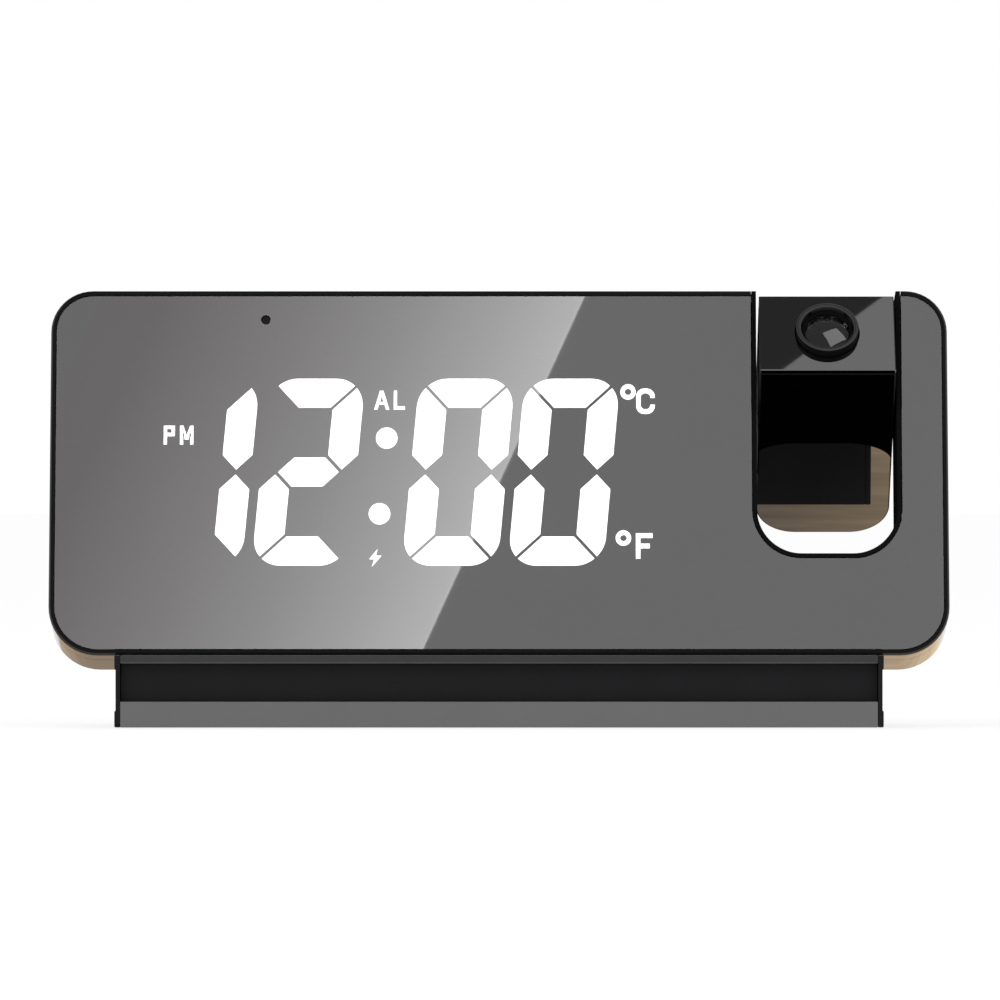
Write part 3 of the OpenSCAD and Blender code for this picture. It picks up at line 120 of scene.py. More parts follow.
class Places:
    """Local frames of the clock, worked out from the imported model's joints and boxes."""

    def __init__(self, model: Mapping[str, Any]) -> None:
        """Reads the model.
        """
        joints = {joint["name"]: joint for joint in model["record"]["behaviour"]["joints"]}
        right = Vector((1.0, 0.0, 0.0))
        up = -vector(joints["snooze_press"]["axis"]).normalized()
        back = up.cross(right).normalized()
        low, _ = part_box("front_bezel")
        _, foot_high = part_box("foot_shell")
        self.face = -back
        self.body = axes(Vector((0.0, low[1], foot_high[2])), right, back, up)
        self.pivot = vector(joints["projector_tilt"]["pos_m"])
        lens = vector(joints["focus_slide"]["axis"]).normalized()
        self.lens = lens
        self.head = axes(self.pivot, right, lens.cross(right).normalized(), lens)

    @staticmethod
    def facing(frame_of: Matrix, spot: Sequence[float], way: Facing = Facing.BACK) -> Matrix:
        """A frame on the outside of the clock, whose Z axis points outwards.

        Args:
            frame_of: The body's, the projector's or the foot's frame.
            spot: Its origin there, in millimetres.
            way: The way that it faces.

        Returns:
            The placing matrix.
        """
        turned = Matrix.Rotation(math.radians(way.value), 4, "X")
        return frame_of @ Matrix.Translation(vector(spot) * MM) @ turned

    @staticmethod
    def extent(node: str, frame_of: Matrix) -> tuple[Vector, Vector]:
        """Box of a solid in a local frame.

        Args:
            node: The solid.
            frame_of: The local frame, as a placing matrix.

        Returns:
            Its lowest and highest corners, in millimetres.
        """
        back = frame_of.inverted()
        points = [(back @ vertex.co) / MM for vertex in frame["nodes"][node].data.vertices]
        low = Vector([min(point[i] for point in points) for i in range(3)])
        high = Vector([max(point[i] for point in points) for i in range(3)])
        return low, high

    @staticmethod
    def islands(node: str, frame_of: Matrix) -> list[tuple[Vector, Vector]]:
        """Boxes of the separate solids of a node, in a local frame.

        Args:
            node: The node.
            frame_of: The local frame, as a placing matrix.

        Returns:
            The lowest and highest corner of each, in millimetres.
        """
        mesh = bmesh.new()
        mesh.from_mesh(frame["nodes"][node].data)
        bmesh.ops.remove_doubles(mesh, verts=mesh.verts, dist=MERGE_REACH)
        mesh.transform(frame_of.inverted())
        left = set(mesh.verts)
        boxes = []
        while left:
            group = [left.pop()]
            for vertex in group:
                for edge in vertex.link_edges:
                    other = edge.other_vert(vertex)
                    if other in left:
                        left.discard(other)
                        group.append(other)
            low = Vector([min(v.co[i] for v in group) / MM for i in range(3)])
            high = Vector([max(v.co[i] for v in group) / MM for i in range(3)])
            boxes.append((low, high))
        mesh.free()
        return sorted(boxes, key=lambda box: tuple(round(c, 2) for c in box[0]))


places = Places(frame)


# ---------- Shader maths ----------

Number = Union[float, "Wire"]


class Wire:
    """A value on a material's socket. Sums on it add Math nodes."""

    def __init__(self, graph: "Graph", socket: bpy.types.NodeSocket) -> None:
        """Wraps a socket.

        Args:
            graph: The material that is being drawn.
            socket: The output that carries the value.
        """
        self.graph = graph
        self.socket = socket

    def maths(self, operation: str, *terms: Number) -> "Wire":
        """One Math node.

        Args:
            operation: The node's operation.
            terms: Its inputs, in order.

        Returns:
            The node's result.
        """
        made = self.graph.node("ShaderNodeMath", {"operation": operation}, dict(enumerate(terms)))
        return Wire(self.graph, made.outputs[0])

    def __add__(self, other: Number) -> "Wire":
        """The sum."""
        return self.maths("ADD", self, other)

    def __radd__(self, other: float) -> "Wire":
        """The sum, reflected."""
        return self.maths("ADD", other, self)

    def __sub__(self, other: Number) -> "Wire":
        """The difference."""
        return self.maths("SUBTRACT", self, other)

    def __rsub__(self, other: float) -> "Wire":
        """The difference, reflected."""
        return self.maths("SUBTRACT", other, self)

    def __mul__(self, other: Number) -> "Wire":
        """The product."""
        return self.maths("MULTIPLY", self, other)

    def __rmul__(self, other: float) -> "Wire":
        """The product, reflected."""
        return self.maths("MULTIPLY", other, self)

    def __gt__(self, other: Number) -> "Wire":
        """1 where this is the greater, else 0."""
        return self.maths("GREATER_THAN", self, other)

    def __lt__(self, other: Number) -> "Wire":
        """1 where this is the less, else 0."""
        return self.maths("LESS_THAN", self, other)

    def __mod__(self, other: Number) -> "Wire":
        """The remainder, never below 0."""
        return self.maths("FLOORED_MODULO", self, other)

    def size(self) -> "Wire":
        """The value without its sign."""
        return self.maths("ABSOLUTE", self)

    def most(self, other: Number) -> "Wire":
        """The greater of the two."""
        return self.maths("MAXIMUM", self, other)

    def step(self, low: float, high: float) -> "Wire":
        """A smooth rise from 0 at low to 1 at high."""
        inputs = {"Value": self, "From Min": low, "From Max": high}
        made = self.graph.node("ShaderNodeMapRange", {"interpolation_type": "SMOOTHSTEP"}, inputs)
        return Wire(self.graph, made.outputs["Result"])


class Graph:
    """One node-based material while it is being drawn."""

    def __init__(self, name: str) -> None:
        """Starts an empty material.

        Args:
            name: The material's name.
        """
        self.material = bpy.data.materials.new(name)
        self.material.use_nodes = True
        self.tree = self.material.node_tree
        self.tree.nodes.clear()
        self.place = self.node("ShaderNodeTexCoord").outputs["Object"]

    def node(
        self,
        kind: str,
        settings: Optional[Mapping[str, Any]] = None,
        inputs: Optional[Mapping[Any, Any]] = None,
    ) -> bpy.types.Node:
        """Adds a node.

        Args:
            kind: The node's type.
            settings: Its own settings; stops are a ramp's [position, colour] pairs.
            inputs: Values or links of its sockets, by name or number.

        Returns:
            The new node.
        """
        made = self.tree.nodes.new(kind)
        for key, value in (settings or {}).items():
            if key == "stops":
                ramp = made.color_ramp.elements
                while len(ramp) < len(value):
                    ramp.new(0.5)
                for spot, (position, colour) in zip(ramp, value):
                    spot.position, spot.color = position, (*colour, 1.0)
            else:
                setattr(made, key, value)
        for key, value in (inputs or {}).items():
            source = value.socket if isinstance(value, Wire) else value
            if isinstance(source, bpy.types.NodeSocket):
                self.tree.links.new(source, made.inputs[key])
            else:
                made.inputs[key].default_value = source
        return made

    def along(self, matrix: Matrix) -> tuple["Wire", "Wire", "Wire"]:
        """Object coordinates read in a local frame.

        Args:
            matrix: The local frame, as a placing matrix.

        Returns:
            The local x, y and z, in millimetres.
        """
        turn = matrix.to_euler()
        settings = {"vector_type": "TEXTURE"}
        inputs = {"Vector": self.place, "Location": matrix.to_translation(), "Rotation": turn}
        made = self.node("ShaderNodeMapping", settings, {**inputs, "Scale": (MM, MM, MM)})
        split = self.node("ShaderNodeSeparateXYZ", None, {0: made.outputs[0]})
        x, y, z = (Wire(self, split.outputs[i]) for i in range(3))
        return x, y, z

    def noise(
        self, size: float, detail: float, stretch: Sequence[float] = (1.0, 1.0, 1.0)
    ) -> Wire:
        """Soft noise.

        Args:
            size: Size of its blobs, in millimetres.
            detail: Number of finer layers.
            stretch: How much longer the blobs are along each axis.

        Returns:
            A value about 0.5, from 0 to 1.
        """
        scale = tuple(1.0 / (size * MM * s) for s in stretch)
        mapped = self.node("ShaderNodeMapping", None, {"Vector": self.place, "Scale": scale})
        inputs = {"Vector": mapped.outputs[0], "Scale": 1.0, "Detail": detail}
        return Wire(self, self.node("ShaderNodeTexNoise", None, inputs).outputs[0])

    def cells(self, size: float) -> Wire:
        """Distance from the middles of a pattern of cells.

        Args:
            size: Size of a cell, in millimetres.

        Returns:
            The distance, in cells.
        """
        inputs = {"Vector": self.place, "Scale": 1.0 / (size * MM)}
        made = self.node("ShaderNodeTexVoronoi", {"feature": "F1"}, inputs)
        return Wire(self, made.outputs["Distance"])

    def blend(self, share: Number, first: Any, second: Any) -> bpy.types.NodeSocket:
        """A colour between two others.

        Args:
            share: How much of the second.
            first: A colour or a colour socket.
            second: A colour or a colour socket.

        Returns:
            The mixed colour's socket.
        """
        sides = [(*c, 1.0) if isinstance(c, tuple) else c for c in (first, second)]
        inputs = {0: share, 6: sides[0], 7: sides[1]}
        return self.node("ShaderNodeMix", {"data_type": "RGBA"}, inputs).outputs[2]

    def surface(
        self,
        base: Any,
        roughness: Number,
        fixed: Mapping[str, Any],
        relief: Optional[Wire] = None,
        relief_mm: float = 0.0,
        **links: Any,
    ) -> bpy.types.Material:
        """Ends the material with a Principled surface.

        Args:
            base: Base colour, as numbers or a socket.
            roughness: Roughness, as a number or a wire.
            fixed: Sockets that are the same all over, by name.
            relief: Height of the fine relief, from 0 to 1.
            relief_mm: Height of the relief at 1, in millimetres.
            links: Metallic or Emission_Color, where they vary.

        Returns:
            The finished material.
        """
        colour = (*base, 1.0) if isinstance(base, tuple) else base
        inputs = {"Base Color": colour, "Roughness": roughness, **fixed}
        inputs.update({key.replace("_", " "): value for key, value in links.items()})
        if relief is not None:
            settings = {"Height": relief, "Distance": relief_mm * MM, "Strength": 1.0}
            inputs["Normal"] = self.node("ShaderNodeBump", None, settings).outputs[0]
        made = self.node("ShaderNodeBsdfPrincipled", None, inputs)
        return self.end(made)

    def across(self) -> bpy.types.NodeSocket:
        """How far across a card a point lies, from 0 to 1."""
        chart = self.node("ShaderNodeTexCoord").outputs["UV"]
        return self.node("ShaderNodeSeparateXYZ", None, {0: chart}).outputs[0]

    def shine(self, colour: bpy.types.NodeSocket, strength: float) -> bpy.types.Material:
        """Ends the material with plain light.

        Args:
            colour: Its colour.
            strength: Its strength.

        Returns:
            The finished material.
        """
        return self.end(self.node("ShaderNodeEmission", None, {0: colour, 1: strength}))

    def end(self, shader: bpy.types.Node) -> bpy.types.Material:
        """Links the last shader to the material's output.

        Args:
            shader: The shader.

        Returns:
            The finished material.
        """
        self.node("ShaderNodeOutputMaterial", None, {0: shader.outputs[0]})
        return self.material


# ---------- Finishes ----------


@dataclass(frozen=True)
class Plastic:
    """Moulded plastic: a fine spark-eroded grain, faint mottling and patchy gloss."""

    name: str
    colour: Colour
    roughness: float
    specular: float = 0.5
    grain: float = 0.25
    relief: float = 0.0
    mottling: float = 0.15
    patches: float = 0.04
    coat: float = 0.0

    def draw(self) -> bpy.types.Material:
        """Draws the material."""
        graph = Graph(self.name)
        cloud = graph.noise(9.0, 3.0)
        light = tuple(min(1.0, c * (1.0 + self.mottling)) for c in self.colour)
        dark = tuple(c * (1.0 - self.mottling) for c in self.colour)
        gloss = (graph.noise(2.2, 3.0) - 0.5) * (2.0 * self.patches) + self.roughness
        grain = graph.noise(self.grain, 3.0) if self.relief else None
        colour = graph.blend(cloud, dark, light)
        fixed = {
            "Specular IOR Level": self.specular,
            "Coat Weight": self.coat,
            "Coat Roughness": 0.06,
        }
        return graph.surface(colour, gloss.most(0.01), fixed, grain, self.relief)


@dataclass(frozen=True)
class MirrorSheet:
    """Acrylic with a thin silvering: a dark mirror, and a window where it lets light through."""

    name: str
    silver: float
    cover: float

    def draw(self) -> bpy.types.Material:
        """Draws the material."""
        graph = Graph(self.name)
        film = graph.noise(14.0, 2.0)
        dust = graph.cells(3.4).step(0.035, 0.02)
        tone = self.silver
        base = graph.blend(film, (tone * 0.985,) * 3, (tone * 1.015,) * 3)
        fixed = {"Metallic": 1.0, "Alpha": self.cover, "Specular IOR Level": 0.5}
        return graph.surface(base, dust * 0.06 + 0.012, fixed)


@dataclass(frozen=True)
class Metal:
    """Sheet or turned metal with a fine brushed grain and worn patches."""

    name: str
    colour: Colour
    roughness: float
    grain: float = 0.12
    tarnish: float = 0.25

    def draw(self) -> bpy.types.Material:
        """Draws the material."""
        graph = Graph(self.name)
        brush = graph.noise(self.grain, 2.0, (9.0, 1.0, 1.0))
        wear = graph.noise(2.5, 4.0).step(0.42, 0.68)
        dull = tuple(c * (1.0 - self.tarnish) for c in self.colour)
        base = graph.blend(wear, self.colour, dull)
        gloss = wear * 0.12 + brush * 0.1 + self.roughness
        return graph.surface(base, gloss, {"Metallic": 1.0}, brush, 0.002)


@dataclass(frozen=True)
class Glow:
    """A lit light guide, its glow a little weaker in soft random patches."""

    name: str
    colour: Colour
    strength: float
    reach: float = 90.0

    def draw(self) -> bpy.types.Material:
        """Draws the material, dark from its reach behind the mirror face, in millimetres."""
        graph = Graph(self.name)
        _, y, _ = graph.along(places.body)
        lit = y < self.reach
        soft = graph.noise(5.0, 1.0).step(0.2, 0.8)
        dim = tuple(c * 0.93 for c in self.colour)
        tint = graph.blend(lit, (0.0, 0.0, 0.0), graph.blend(soft, dim, self.colour))
        guide = graph.blend(lit, (0.005, 0.005, 0.005), (0.8, 0.8, 0.8))
        fixed = {"Emission Strength": self.strength, "Specular IOR Level": 0.12}
        return graph.surface(guide, 0.5, fixed, Emission_Color=tint)


@dataclass(frozen=True)
class CircuitBoard:
    """Solder-masked board with copper tracks, vias and a weave that shows through."""

    name: str
    mask: Colour = (0.006, 0.075, 0.03)
    copper: Colour = (0.02, 0.16, 0.06)
    tin: Colour = (0.55, 0.5, 0.4)
    track_pitch: float = 1.27

    def draw(self) -> bpy.types.Material:
        """Draws the material."""
        graph = Graph(self.name)
        x, _, z = graph.along(places.body)
        bend = (graph.noise(11.0, 0.0) - 0.5) * 6.0
        pitch, half = self.track_pitch, self.track_pitch / 2
        runs = ((x + bend) % pitch - half).size().step(0.28, 0.2)
        cross = ((z - bend) % pitch - half).size().step(0.28, 0.2)
        zone = graph.noise(8.0, 0.0).step(0.49, 0.51)
        track = runs * zone + cross * (1.0 - zone)
        via = graph.cells(2.6).step(0.16, 0.12)
        weave = graph.noise(0.35, 1.0)
        colour = graph.blend(track, self.mask, self.copper)
        colour = graph.blend(via, colour, self.tin)
        fixed = {"Specular IOR Level": 0.5, "Coat Weight": 0.3, "Coat Roughness": 0.15}
        relief = track * 0.7 + weave * 0.3
        return graph.surface(colour, weave * 0.15 + 0.3, fixed, relief, 0.03, Metallic=via)


@dataclass(frozen=True)
class Clear:
    """Clear moulded or ground optics with a thin tinted coating."""

    name: str
    tint: Colour
    roughness: float = 0.01
    index: float = 1.49
    coat: float = 0.2
    coat_index: float = 1.5

    def draw(self) -> bpy.types.Material:
        """Draws the material."""
        graph = Graph(self.name)
        haze = graph.noise(1.6, 2.0)
        fixed = {
            "IOR": self.index,
            "Transmission Weight": 1.0,
            "Coat Weight": self.coat,
            "Coat Roughness": 0.01,
            "Coat IOR": self.coat_index,
        }
        return graph.surface(self.tint, haze * 0.02 + self.roughness, fixed)


@dataclass(frozen=True)
class Soft:
    """Rubber or foam: no shine, open pores, and patches that are paler on what stands proud between
    the pores.
    """

    name: str
    colour: Colour
    pore: float
    depth: float

    def draw(self) -> bpy.types.Material:
        """Draws the material."""
        graph = Graph(self.name)
        pores = graph.cells(self.pore).step(0.1, 0.6)
        paler_patches = graph.noise(6.0, 4.0).step(0.45, 0.75)
        pale = tuple(min(1.0, c * 1.6 + 0.01) for c in self.colour)
        # Patches of paler colour on the raised parts between the pores; the pores keep the darker
        # colour.
        base = graph.blend(paler_patches * pores * 0.5, self.colour, pale)
        fixed = {"Specular IOR Level": 0.25}
        return graph.surface(base, 0.9 - pores * 0.1, fixed, pores, self.depth)


@dataclass(frozen=True)
class Jacket:
    """Insulation of a thin lead: smooth, slightly waxy, with a faint run of dirt."""

    name: str
    colour: Colour

    def draw(self) -> bpy.types.Material:
        """Draws the material."""
        graph = Graph(self.name)
        dirt = graph.noise(3.0, 3.0)
        dark = tuple(c * 0.6 for c in self.colour)
        colour = graph.blend(dirt, dark, self.colour)
        return graph.surface(colour, dirt * 0.2 + 0.35, {"Specular IOR Level": 0.45})


@dataclass(frozen=True)
class CellWrap:
    """Printed wrap of a small dry cell: a dark sleeve, a pale band, and bare metal ends."""

    name: str
    sleeve: Colour = (0.012, 0.03, 0.11)
    band: Colour = (0.55, 0.35, 0.1)
    steel: Colour = (0.62, 0.61, 0.58)
    middle: float = -30.0
    band_ends: tuple[float, float] = (12.5, 18.5)
    half_length: float = 21.3

    def draw(self) -> bpy.types.Material:
        """Draws the material."""
        graph = Graph(self.name)
        x, _, _ = graph.along(places.body)
        out = (x - self.middle).size()
        end = out > self.half_length
        stripe = (out > self.band_ends[0]) * (out < self.band_ends[1])
        colour = graph.blend(stripe, self.sleeve, self.band)
        colour = graph.blend(end, colour, self.steel)
        scuff = graph.noise(1.2, 4.0)
        fixed = {"Specular IOR Level": 0.5}
        return graph.surface(colour, scuff * 0.2 + 0.22, fixed, scuff, 0.004, Metallic=end)


@dataclass(frozen=True)
class PartsOnBoard:
    """Chips and plugs in dark resin, and the bright cans that stand higher above the board."""

    name: str
    resin: Colour = (0.012, 0.012, 0.014)
    can: Colour = (0.6, 0.6, 0.6)
    can_front: float = 9.6

    def draw(self) -> bpy.types.Material:
        """Draws the material."""
        graph = Graph(self.name)
        _, y, _ = graph.along(places.body)
        can = y < self.can_front
        speck = graph.noise(0.3, 3.0)
        base = graph.blend(can, self.resin, self.can)
        gloss = speck * 0.25 + 0.35 - can * 0.2
        return graph.surface(base, gloss, {"Specular IOR Level": 0.4}, speck, 0.01, Metallic=can)


@dataclass(frozen=True)
class GraphitePaint:
    """Gloss graphite paint: a dark grey ground with very fine flakes under a clear coat."""

    name: str
    ground: Colour
    flake: Colour
    roughness: float = 0.22

    def draw(self) -> bpy.types.Material:
        """Draws the material."""
        graph = Graph(self.name)
        flakes = graph.cells(0.09).step(0.42, 0.2)
        shade = graph.noise(12.0, 2.0)
        share = flakes * 0.5 + shade * 0.3
        gloss = graph.noise(3.0, 2.0) * 0.06 + self.roughness
        fixed = {"Specular IOR Level": 0.5, "Coat Weight": 0.25, "Coat Roughness": 0.05}
        return graph.surface(graph.blend(share, self.ground, self.flake), gloss, fixed)


class Look(Enum):
    """The clock's finishes.

    A plastic has its name, colour, roughness, specular level, size and height of its grain in
    millimetres, and mottling. A clear part has its tint, roughness, index, coat and coat's index.
    """

    MIRROR_FRONT = MirrorSheet("one_way_mirror_front", 0.196, 0.7)
    CLEAR_BACK = MirrorSheet("clear_acrylic_back", 0.04, 0.05)
    MIRROR_PLATE = MirrorSheet("dark_mirror_plate", 0.138, 1.0)
    RIM_BLACK = Plastic("rim_black_plastic", (0.0028, 0.0028, 0.003), 0.3, 0.09, 0.2, 0.001, 0.3)
    SLOT_BLACK = Plastic("slot_matt_black", (0.0055, 0.0055, 0.006), 0.85, 0.0, 0.2, 0.01, 0.3)
    GLOSS_BLACK = Plastic("gloss_black_plastic", (0.006, 0.006, 0.0065), 0.07, 0.5)
    DEEP_BLACK = Plastic("deep_black_plastic", (0.006, 0.006, 0.0065), 0.3, 0.12, 0.22, 0.004)
    SATIN_BLACK = Plastic("grained_satin_black", (0.011, 0.011, 0.0115), 0.42, 0.4, 0.3, 0.02)
    MATTE_BLACK = Plastic("matte_black_plastic", (0.0125, 0.0125, 0.0135), 0.75, 0.05, 0.18, 0.01)
    INNER_BLACK = Plastic("light_trap_black", (0.004, 0.004, 0.004), 0.6, 0.12, 0.25, 0.01)
    # The foot's black in two tones: the darker on faces that look forwards, the lighter a painted
    # highlight on faces that look up or down.
    FLANGE_BLACK = Plastic("foot_front_black", (0.036, 0.036, 0.037), 0.3, 0.12, 0.3, 0.002)
    FOOT_TOP = Plastic("foot_top_black", (0.085, 0.085, 0.086), 0.3, 0.12, 0.3, 0.002)
    RING_BLACK = Plastic("focus_ring_black", (0.015, 0.015, 0.0155), 0.22, 0.5, 0.2, 0.001)
    HOUSING_BLACK = Plastic("housing_black_plastic", (0.005, 0.005, 0.0055), 0.4, 0.25, 0.22, 0.006)
    BUTTON_BLACK = Plastic("button_black", (0.014, 0.014, 0.015), 0.32, 0.4, 0.2, 0.012)
    GRAPHITE = GraphitePaint("graphite_gloss_paint", (0.085, 0.085, 0.085), (0.115, 0.115, 0.115))
    NYLON = Plastic("ivory_nylon", (0.62, 0.6, 0.52), 0.4, 0.4, 0.5, 0.01, 0.04)
    LIT = Glow("lit_light_guide", (1.0, 1.0, 1.0), 5.0)
    SIGN_LIT = Glow("lit_signs", (1.0, 1.0, 1.0), 5.0, 2.12)
    UNLIT = Plastic("smoked_light_guide", (0.006, 0.006, 0.006), 0.35, 0.2, 0.4, 0.005)
    LAMP = Plastic("lamp_phosphor", (0.75, 0.6, 0.12), 0.35, 0.5, 0.15, 0.01, 0.1)
    BOARD = CircuitBoard("green_circuit_board")
    PARTS = PartsOnBoard("board_parts_resin_and_cans")
    STEEL = Metal("bright_steel", (0.62, 0.61, 0.58), 0.2)
    BLACK_STEEL = Metal("black_zinc_steel", (0.09, 0.09, 0.092), 0.28)
    CLEAR = Clear("coated_clear_lens", (0.96, 0.97, 1.0))
    OBJECTIVE = Clear("coated_objective_glass", (0.16, 0.17, 0.2), 0.01, 1.3, 1.0, 2.2)
    SMOKE = Clear("smoked_clear_slide", (0.25, 0.27, 0.24), 0.08)
    SENSOR_BLACK = Plastic("dark_sensor_window", (0.003, 0.003, 0.0035), 0.1, 0.12, 0.2, 0.001)
    RUBBER = Soft("grey_rubber_pad", (0.016, 0.016, 0.016), 0.5, 0.04)
    PAPER = Soft("coated_paper_cone", (0.018, 0.018, 0.019), 0.3, 0.02)
    FOAM = Soft("black_foam", (0.01, 0.01, 0.011), 0.35, 0.12)
    RED_LEAD = Jacket("red_lead_jacket", (0.45, 0.02, 0.015))
    BLACK_LEAD = Jacket("black_lead_jacket", (0.02, 0.02, 0.02))
    CELL = CellWrap("dry_cell_wrap")

    @property
    def material(self) -> bpy.types.Material:
        """The finish's material, drawn when it is first asked for."""
        return bpy.data.materials.get(self.value.name) or self.value.draw()


# ---------- Modelling bench ----------


class Bench:
    """Adds primitives and shapes them in edit mode, as by hand."""

    @staticmethod
    def clear() -> None:
        """Deselects everything."""
        for thing in bpy.context.selected_objects:
            thing.select_set(False)

    @staticmethod
    def take(thing: bpy.types.Object) -> bpy.types.Object:
        """Makes a piece the only one selected.

        Args:
            thing: The piece.

        Returns:
            The same piece.
        """
        Bench.clear()
        thing.select_set(True)
        bpy.context.view_layer.objects.active = thing
        return thing

    @staticmethod
    @contextmanager
    def edit(thing: bpy.types.Object, mode: str = "FACE") -> Iterator[None]:
        """Edit mode on a piece, with nothing selected at its start.

        Args:
            thing: The piece.
            mode: What is selected: VERT, EDGE or FACE.
        """
        Bench.take(thing)
        bpy.ops.object.mode_set(mode="EDIT")
        bpy.ops.mesh.select_mode(type=mode)
        bpy.ops.mesh.select_all(action="DESELECT")
        yield
        bpy.ops.object.mode_set(mode="OBJECT")

    @staticmethod
    def pick(thing: bpy.types.Object, test: Callable[[Any], bool], kind: str = "faces") -> int:
        """Selects the faces, or the edges, that pass a test, and no others.

        Args:
            thing: The piece, in edit mode.
            test: What each must pass.
            kind: What is selected: faces or edges.

        Returns:
            How many are selected.
        """
        bpy.ops.mesh.select_all(action="DESELECT")
        mesh = bmesh.from_edit_mesh(thing.data)
        chosen = [part for part in getattr(mesh, kind) if test(part)]
        for part in chosen:
            part.select_set(True)
        bmesh.update_edit_mesh(thing.data)
        return len(chosen)

    @staticmethod
    def box(name: str, low: Sequence[float], high: Sequence[float]) -> bpy.types.Object:
        """A box between two corners, in millimetres.

        Args:
            name: The piece's name.
            low: Its lowest corner.
            high: Its highest corner.

        Returns:
            The new piece.
        """
        Bench.clear()
        bpy.ops.mesh.primitive_cube_add(size=1.0)
        thing = bpy.context.active_object
        thing.name = name
        size = [(h - l) * MM for l, h in zip(low, high)]
        middle = [(h + l) * 0.5 * MM for l, h in zip(low, high)]
        thing.scale, thing.location = size, middle
        bpy.ops.object.transform_apply(location=True, rotation=True, scale=True)
        return thing

    @staticmethod
    def lathe(
        name: str, profile: Sequence[tuple[float, float]], steps: int, closed: bool = False
    ) -> bpy.types.Object:
        """A turned piece about the local Z axis.

        Args:
            name: The piece's name.
            profile: Its half section, as [radius, height] in millimetres.
            steps: Sides of the turned shape.
            closed: Whether the section's last point joins its first.

        Returns:
            The new piece.
        """
        Bench.clear()
        bpy.ops.mesh.primitive_plane_add(size=MM)
        thing = bpy.context.active_object
        thing.name = name
        points = [Vector((r * MM, 0.0, z * MM)) for r, z in profile]
        if closed:
            points.append(points[0])
        with Bench.edit(thing, "VERT"):
            bpy.ops.mesh.select_all(action="SELECT")
            bpy.ops.mesh.merge(type="CENTER")
            bpy.ops.transform.translate(value=points[0])
            for here, there in zip(points, points[1:]):
                step = {"value": there - here}
                bpy.ops.mesh.extrude_vertices_move(TRANSFORM_OT_translate=step)
            bpy.ops.mesh.select_all(action="SELECT")
            bpy.ops.mesh.spin(
                steps=steps, angle=2.0 * math.pi, center=(0.0, 0.0, 0.0), axis=(0.0, 0.0, 1.0)
            )
            bpy.ops.mesh.select_all(action="SELECT")
            bpy.ops.mesh.remove_doubles(threshold=MERGE_REACH)
            bpy.ops.mesh.normals_make_consistent(inside=False)
        return thing

    @staticmethod
    def modify(thing: bpy.types.Object, kind: str, **settings: Any) -> None:
        """Adds a modifier and applies it.

        Args:
            thing: The piece.
            kind: The modifier's type.
            settings: Its settings.
        """
        Bench.take(thing)
        made = thing.modifiers.new(kind.title(), kind)
        for key, value in settings.items():
            setattr(made, key, value)
        bpy.ops.object.modifier_apply(modifier=made.name)

    @staticmethod
    def smooth(thing: bpy.types.Object, angle: float) -> None:
        """Shades a piece smooth except over sharp edges.

        Args:
            thing: The piece.
            angle: Bend, in degrees, from which an edge stays sharp.
        """
        Bench.take(thing)
        bpy.ops.object.shade_smooth_by_angle(angle=math.radians(angle))

    @staticmethod
    def round_off(thing: bpy.types.Object, width: float, flat: bool = False) -> None:
        """Rounds the edges that bend 30 degrees or more, and evens the shading.

        Args:
            thing: The piece.
            width: Width of the rounding, in millimetres.
            flat: Whether its flat faces mirror, and so keep their exact normals.
        """
        Bench.modify(
            thing, "BEVEL", width=width * MM, segments=2, limit_method="ANGLE",
            angle_limit=math.radians(30.0), use_clamp_overlap=False, miter_outer="MITER_ARC",
        )
        Bench.smooth(thing, 12.0 if flat else 40.0)
        if not flat:
            Bench.modify(thing, "WEIGHTED_NORMAL", keep_sharp=True, weight=50)

    @staticmethod
    def bevel(
        thing: bpy.types.Object,
        test: Callable[[bmesh.types.BMEdge], bool],
        width: float,
        segments: int,
    ) -> None:
        """Rounds the edges that pass a test.

        Args:
            thing: The piece.
            test: What an edge must pass.
            width: Width of the rounding, in millimetres.
            segments: Steps across it.
        """
        with Bench.edit(thing, "EDGE"):
            found = Bench.pick(thing, test, "edges")
            if found:
                bpy.ops.mesh.bevel(offset=width * MM, segments=segments, affect="EDGES")
            log.info("%s: %d edges rounded", thing.name, found)

    @staticmethod
    def slice(thing: bpy.types.Object, axis: int, cuts: Sequence[float]) -> None:
        """Cuts a piece's faces by planes across an axis, and keeps all of it.

        Args:
            thing: The piece.
            axis: The axis, from 0 to 2.
            cuts: Places of the planes, in millimetres.
        """
        across = [float(i == axis) for i in range(3)]
        with Bench.edit(thing):
            for cut in cuts:
                bpy.ops.mesh.select_all(action="SELECT")
                spot = [cut * MM * part for part in across]
                bpy.ops.mesh.bisect(plane_co=spot, plane_no=across)

    @staticmethod
    def press(
        thing: bpy.types.Object, test: Callable[[Vector, Vector], bool], move: Sequence[float]
    ) -> None:
        """Extrudes the faces that pass a test.

        Args:
            thing: The piece.
            test: What a face's middle, in millimetres, and normal must pass.
            move: How far they go, in millimetres.
        """
        with Bench.edit(thing):
            found = Bench.pick(thing, lambda f: test(f.calc_center_median() / MM, f.normal))
            if found:
                way = [step * MM for step in move]
                bpy.ops.mesh.extrude_region_move(TRANSFORM_OT_translate={"value": way})
            log.info("%s: %d faces pressed", thing.name, found)

    @staticmethod
    def grooves(
        thing: bpy.types.Object,
        axis: int,
        grid: tuple[int, float, float],
        ends: tuple[float, float],
        depth: float,
    ) -> None:
        """Presses a row of straight grooves into the top or the underside of a piece.

        Args:
            thing: The piece.
            axis: The axis, 0 or 1, along which the grooves follow each other.
            grid: Their number, their pitch and their width, in millimetres.
            ends: Where they begin and end along the other axis.
            depth: How far the faces move up; below 0 they move down, into the top.
        """
        count, pitch, width = grid
        other, side = 1 - axis, -1.0 if depth > 0.0 else 1.0
        starts = [(i - (count - 1) / 2) * pitch - width / 2 for i in range(count)]
        Bench.slice(thing, axis, [cut for start in starts for cut in (start, start + width)])
        Bench.slice(thing, other, ends)

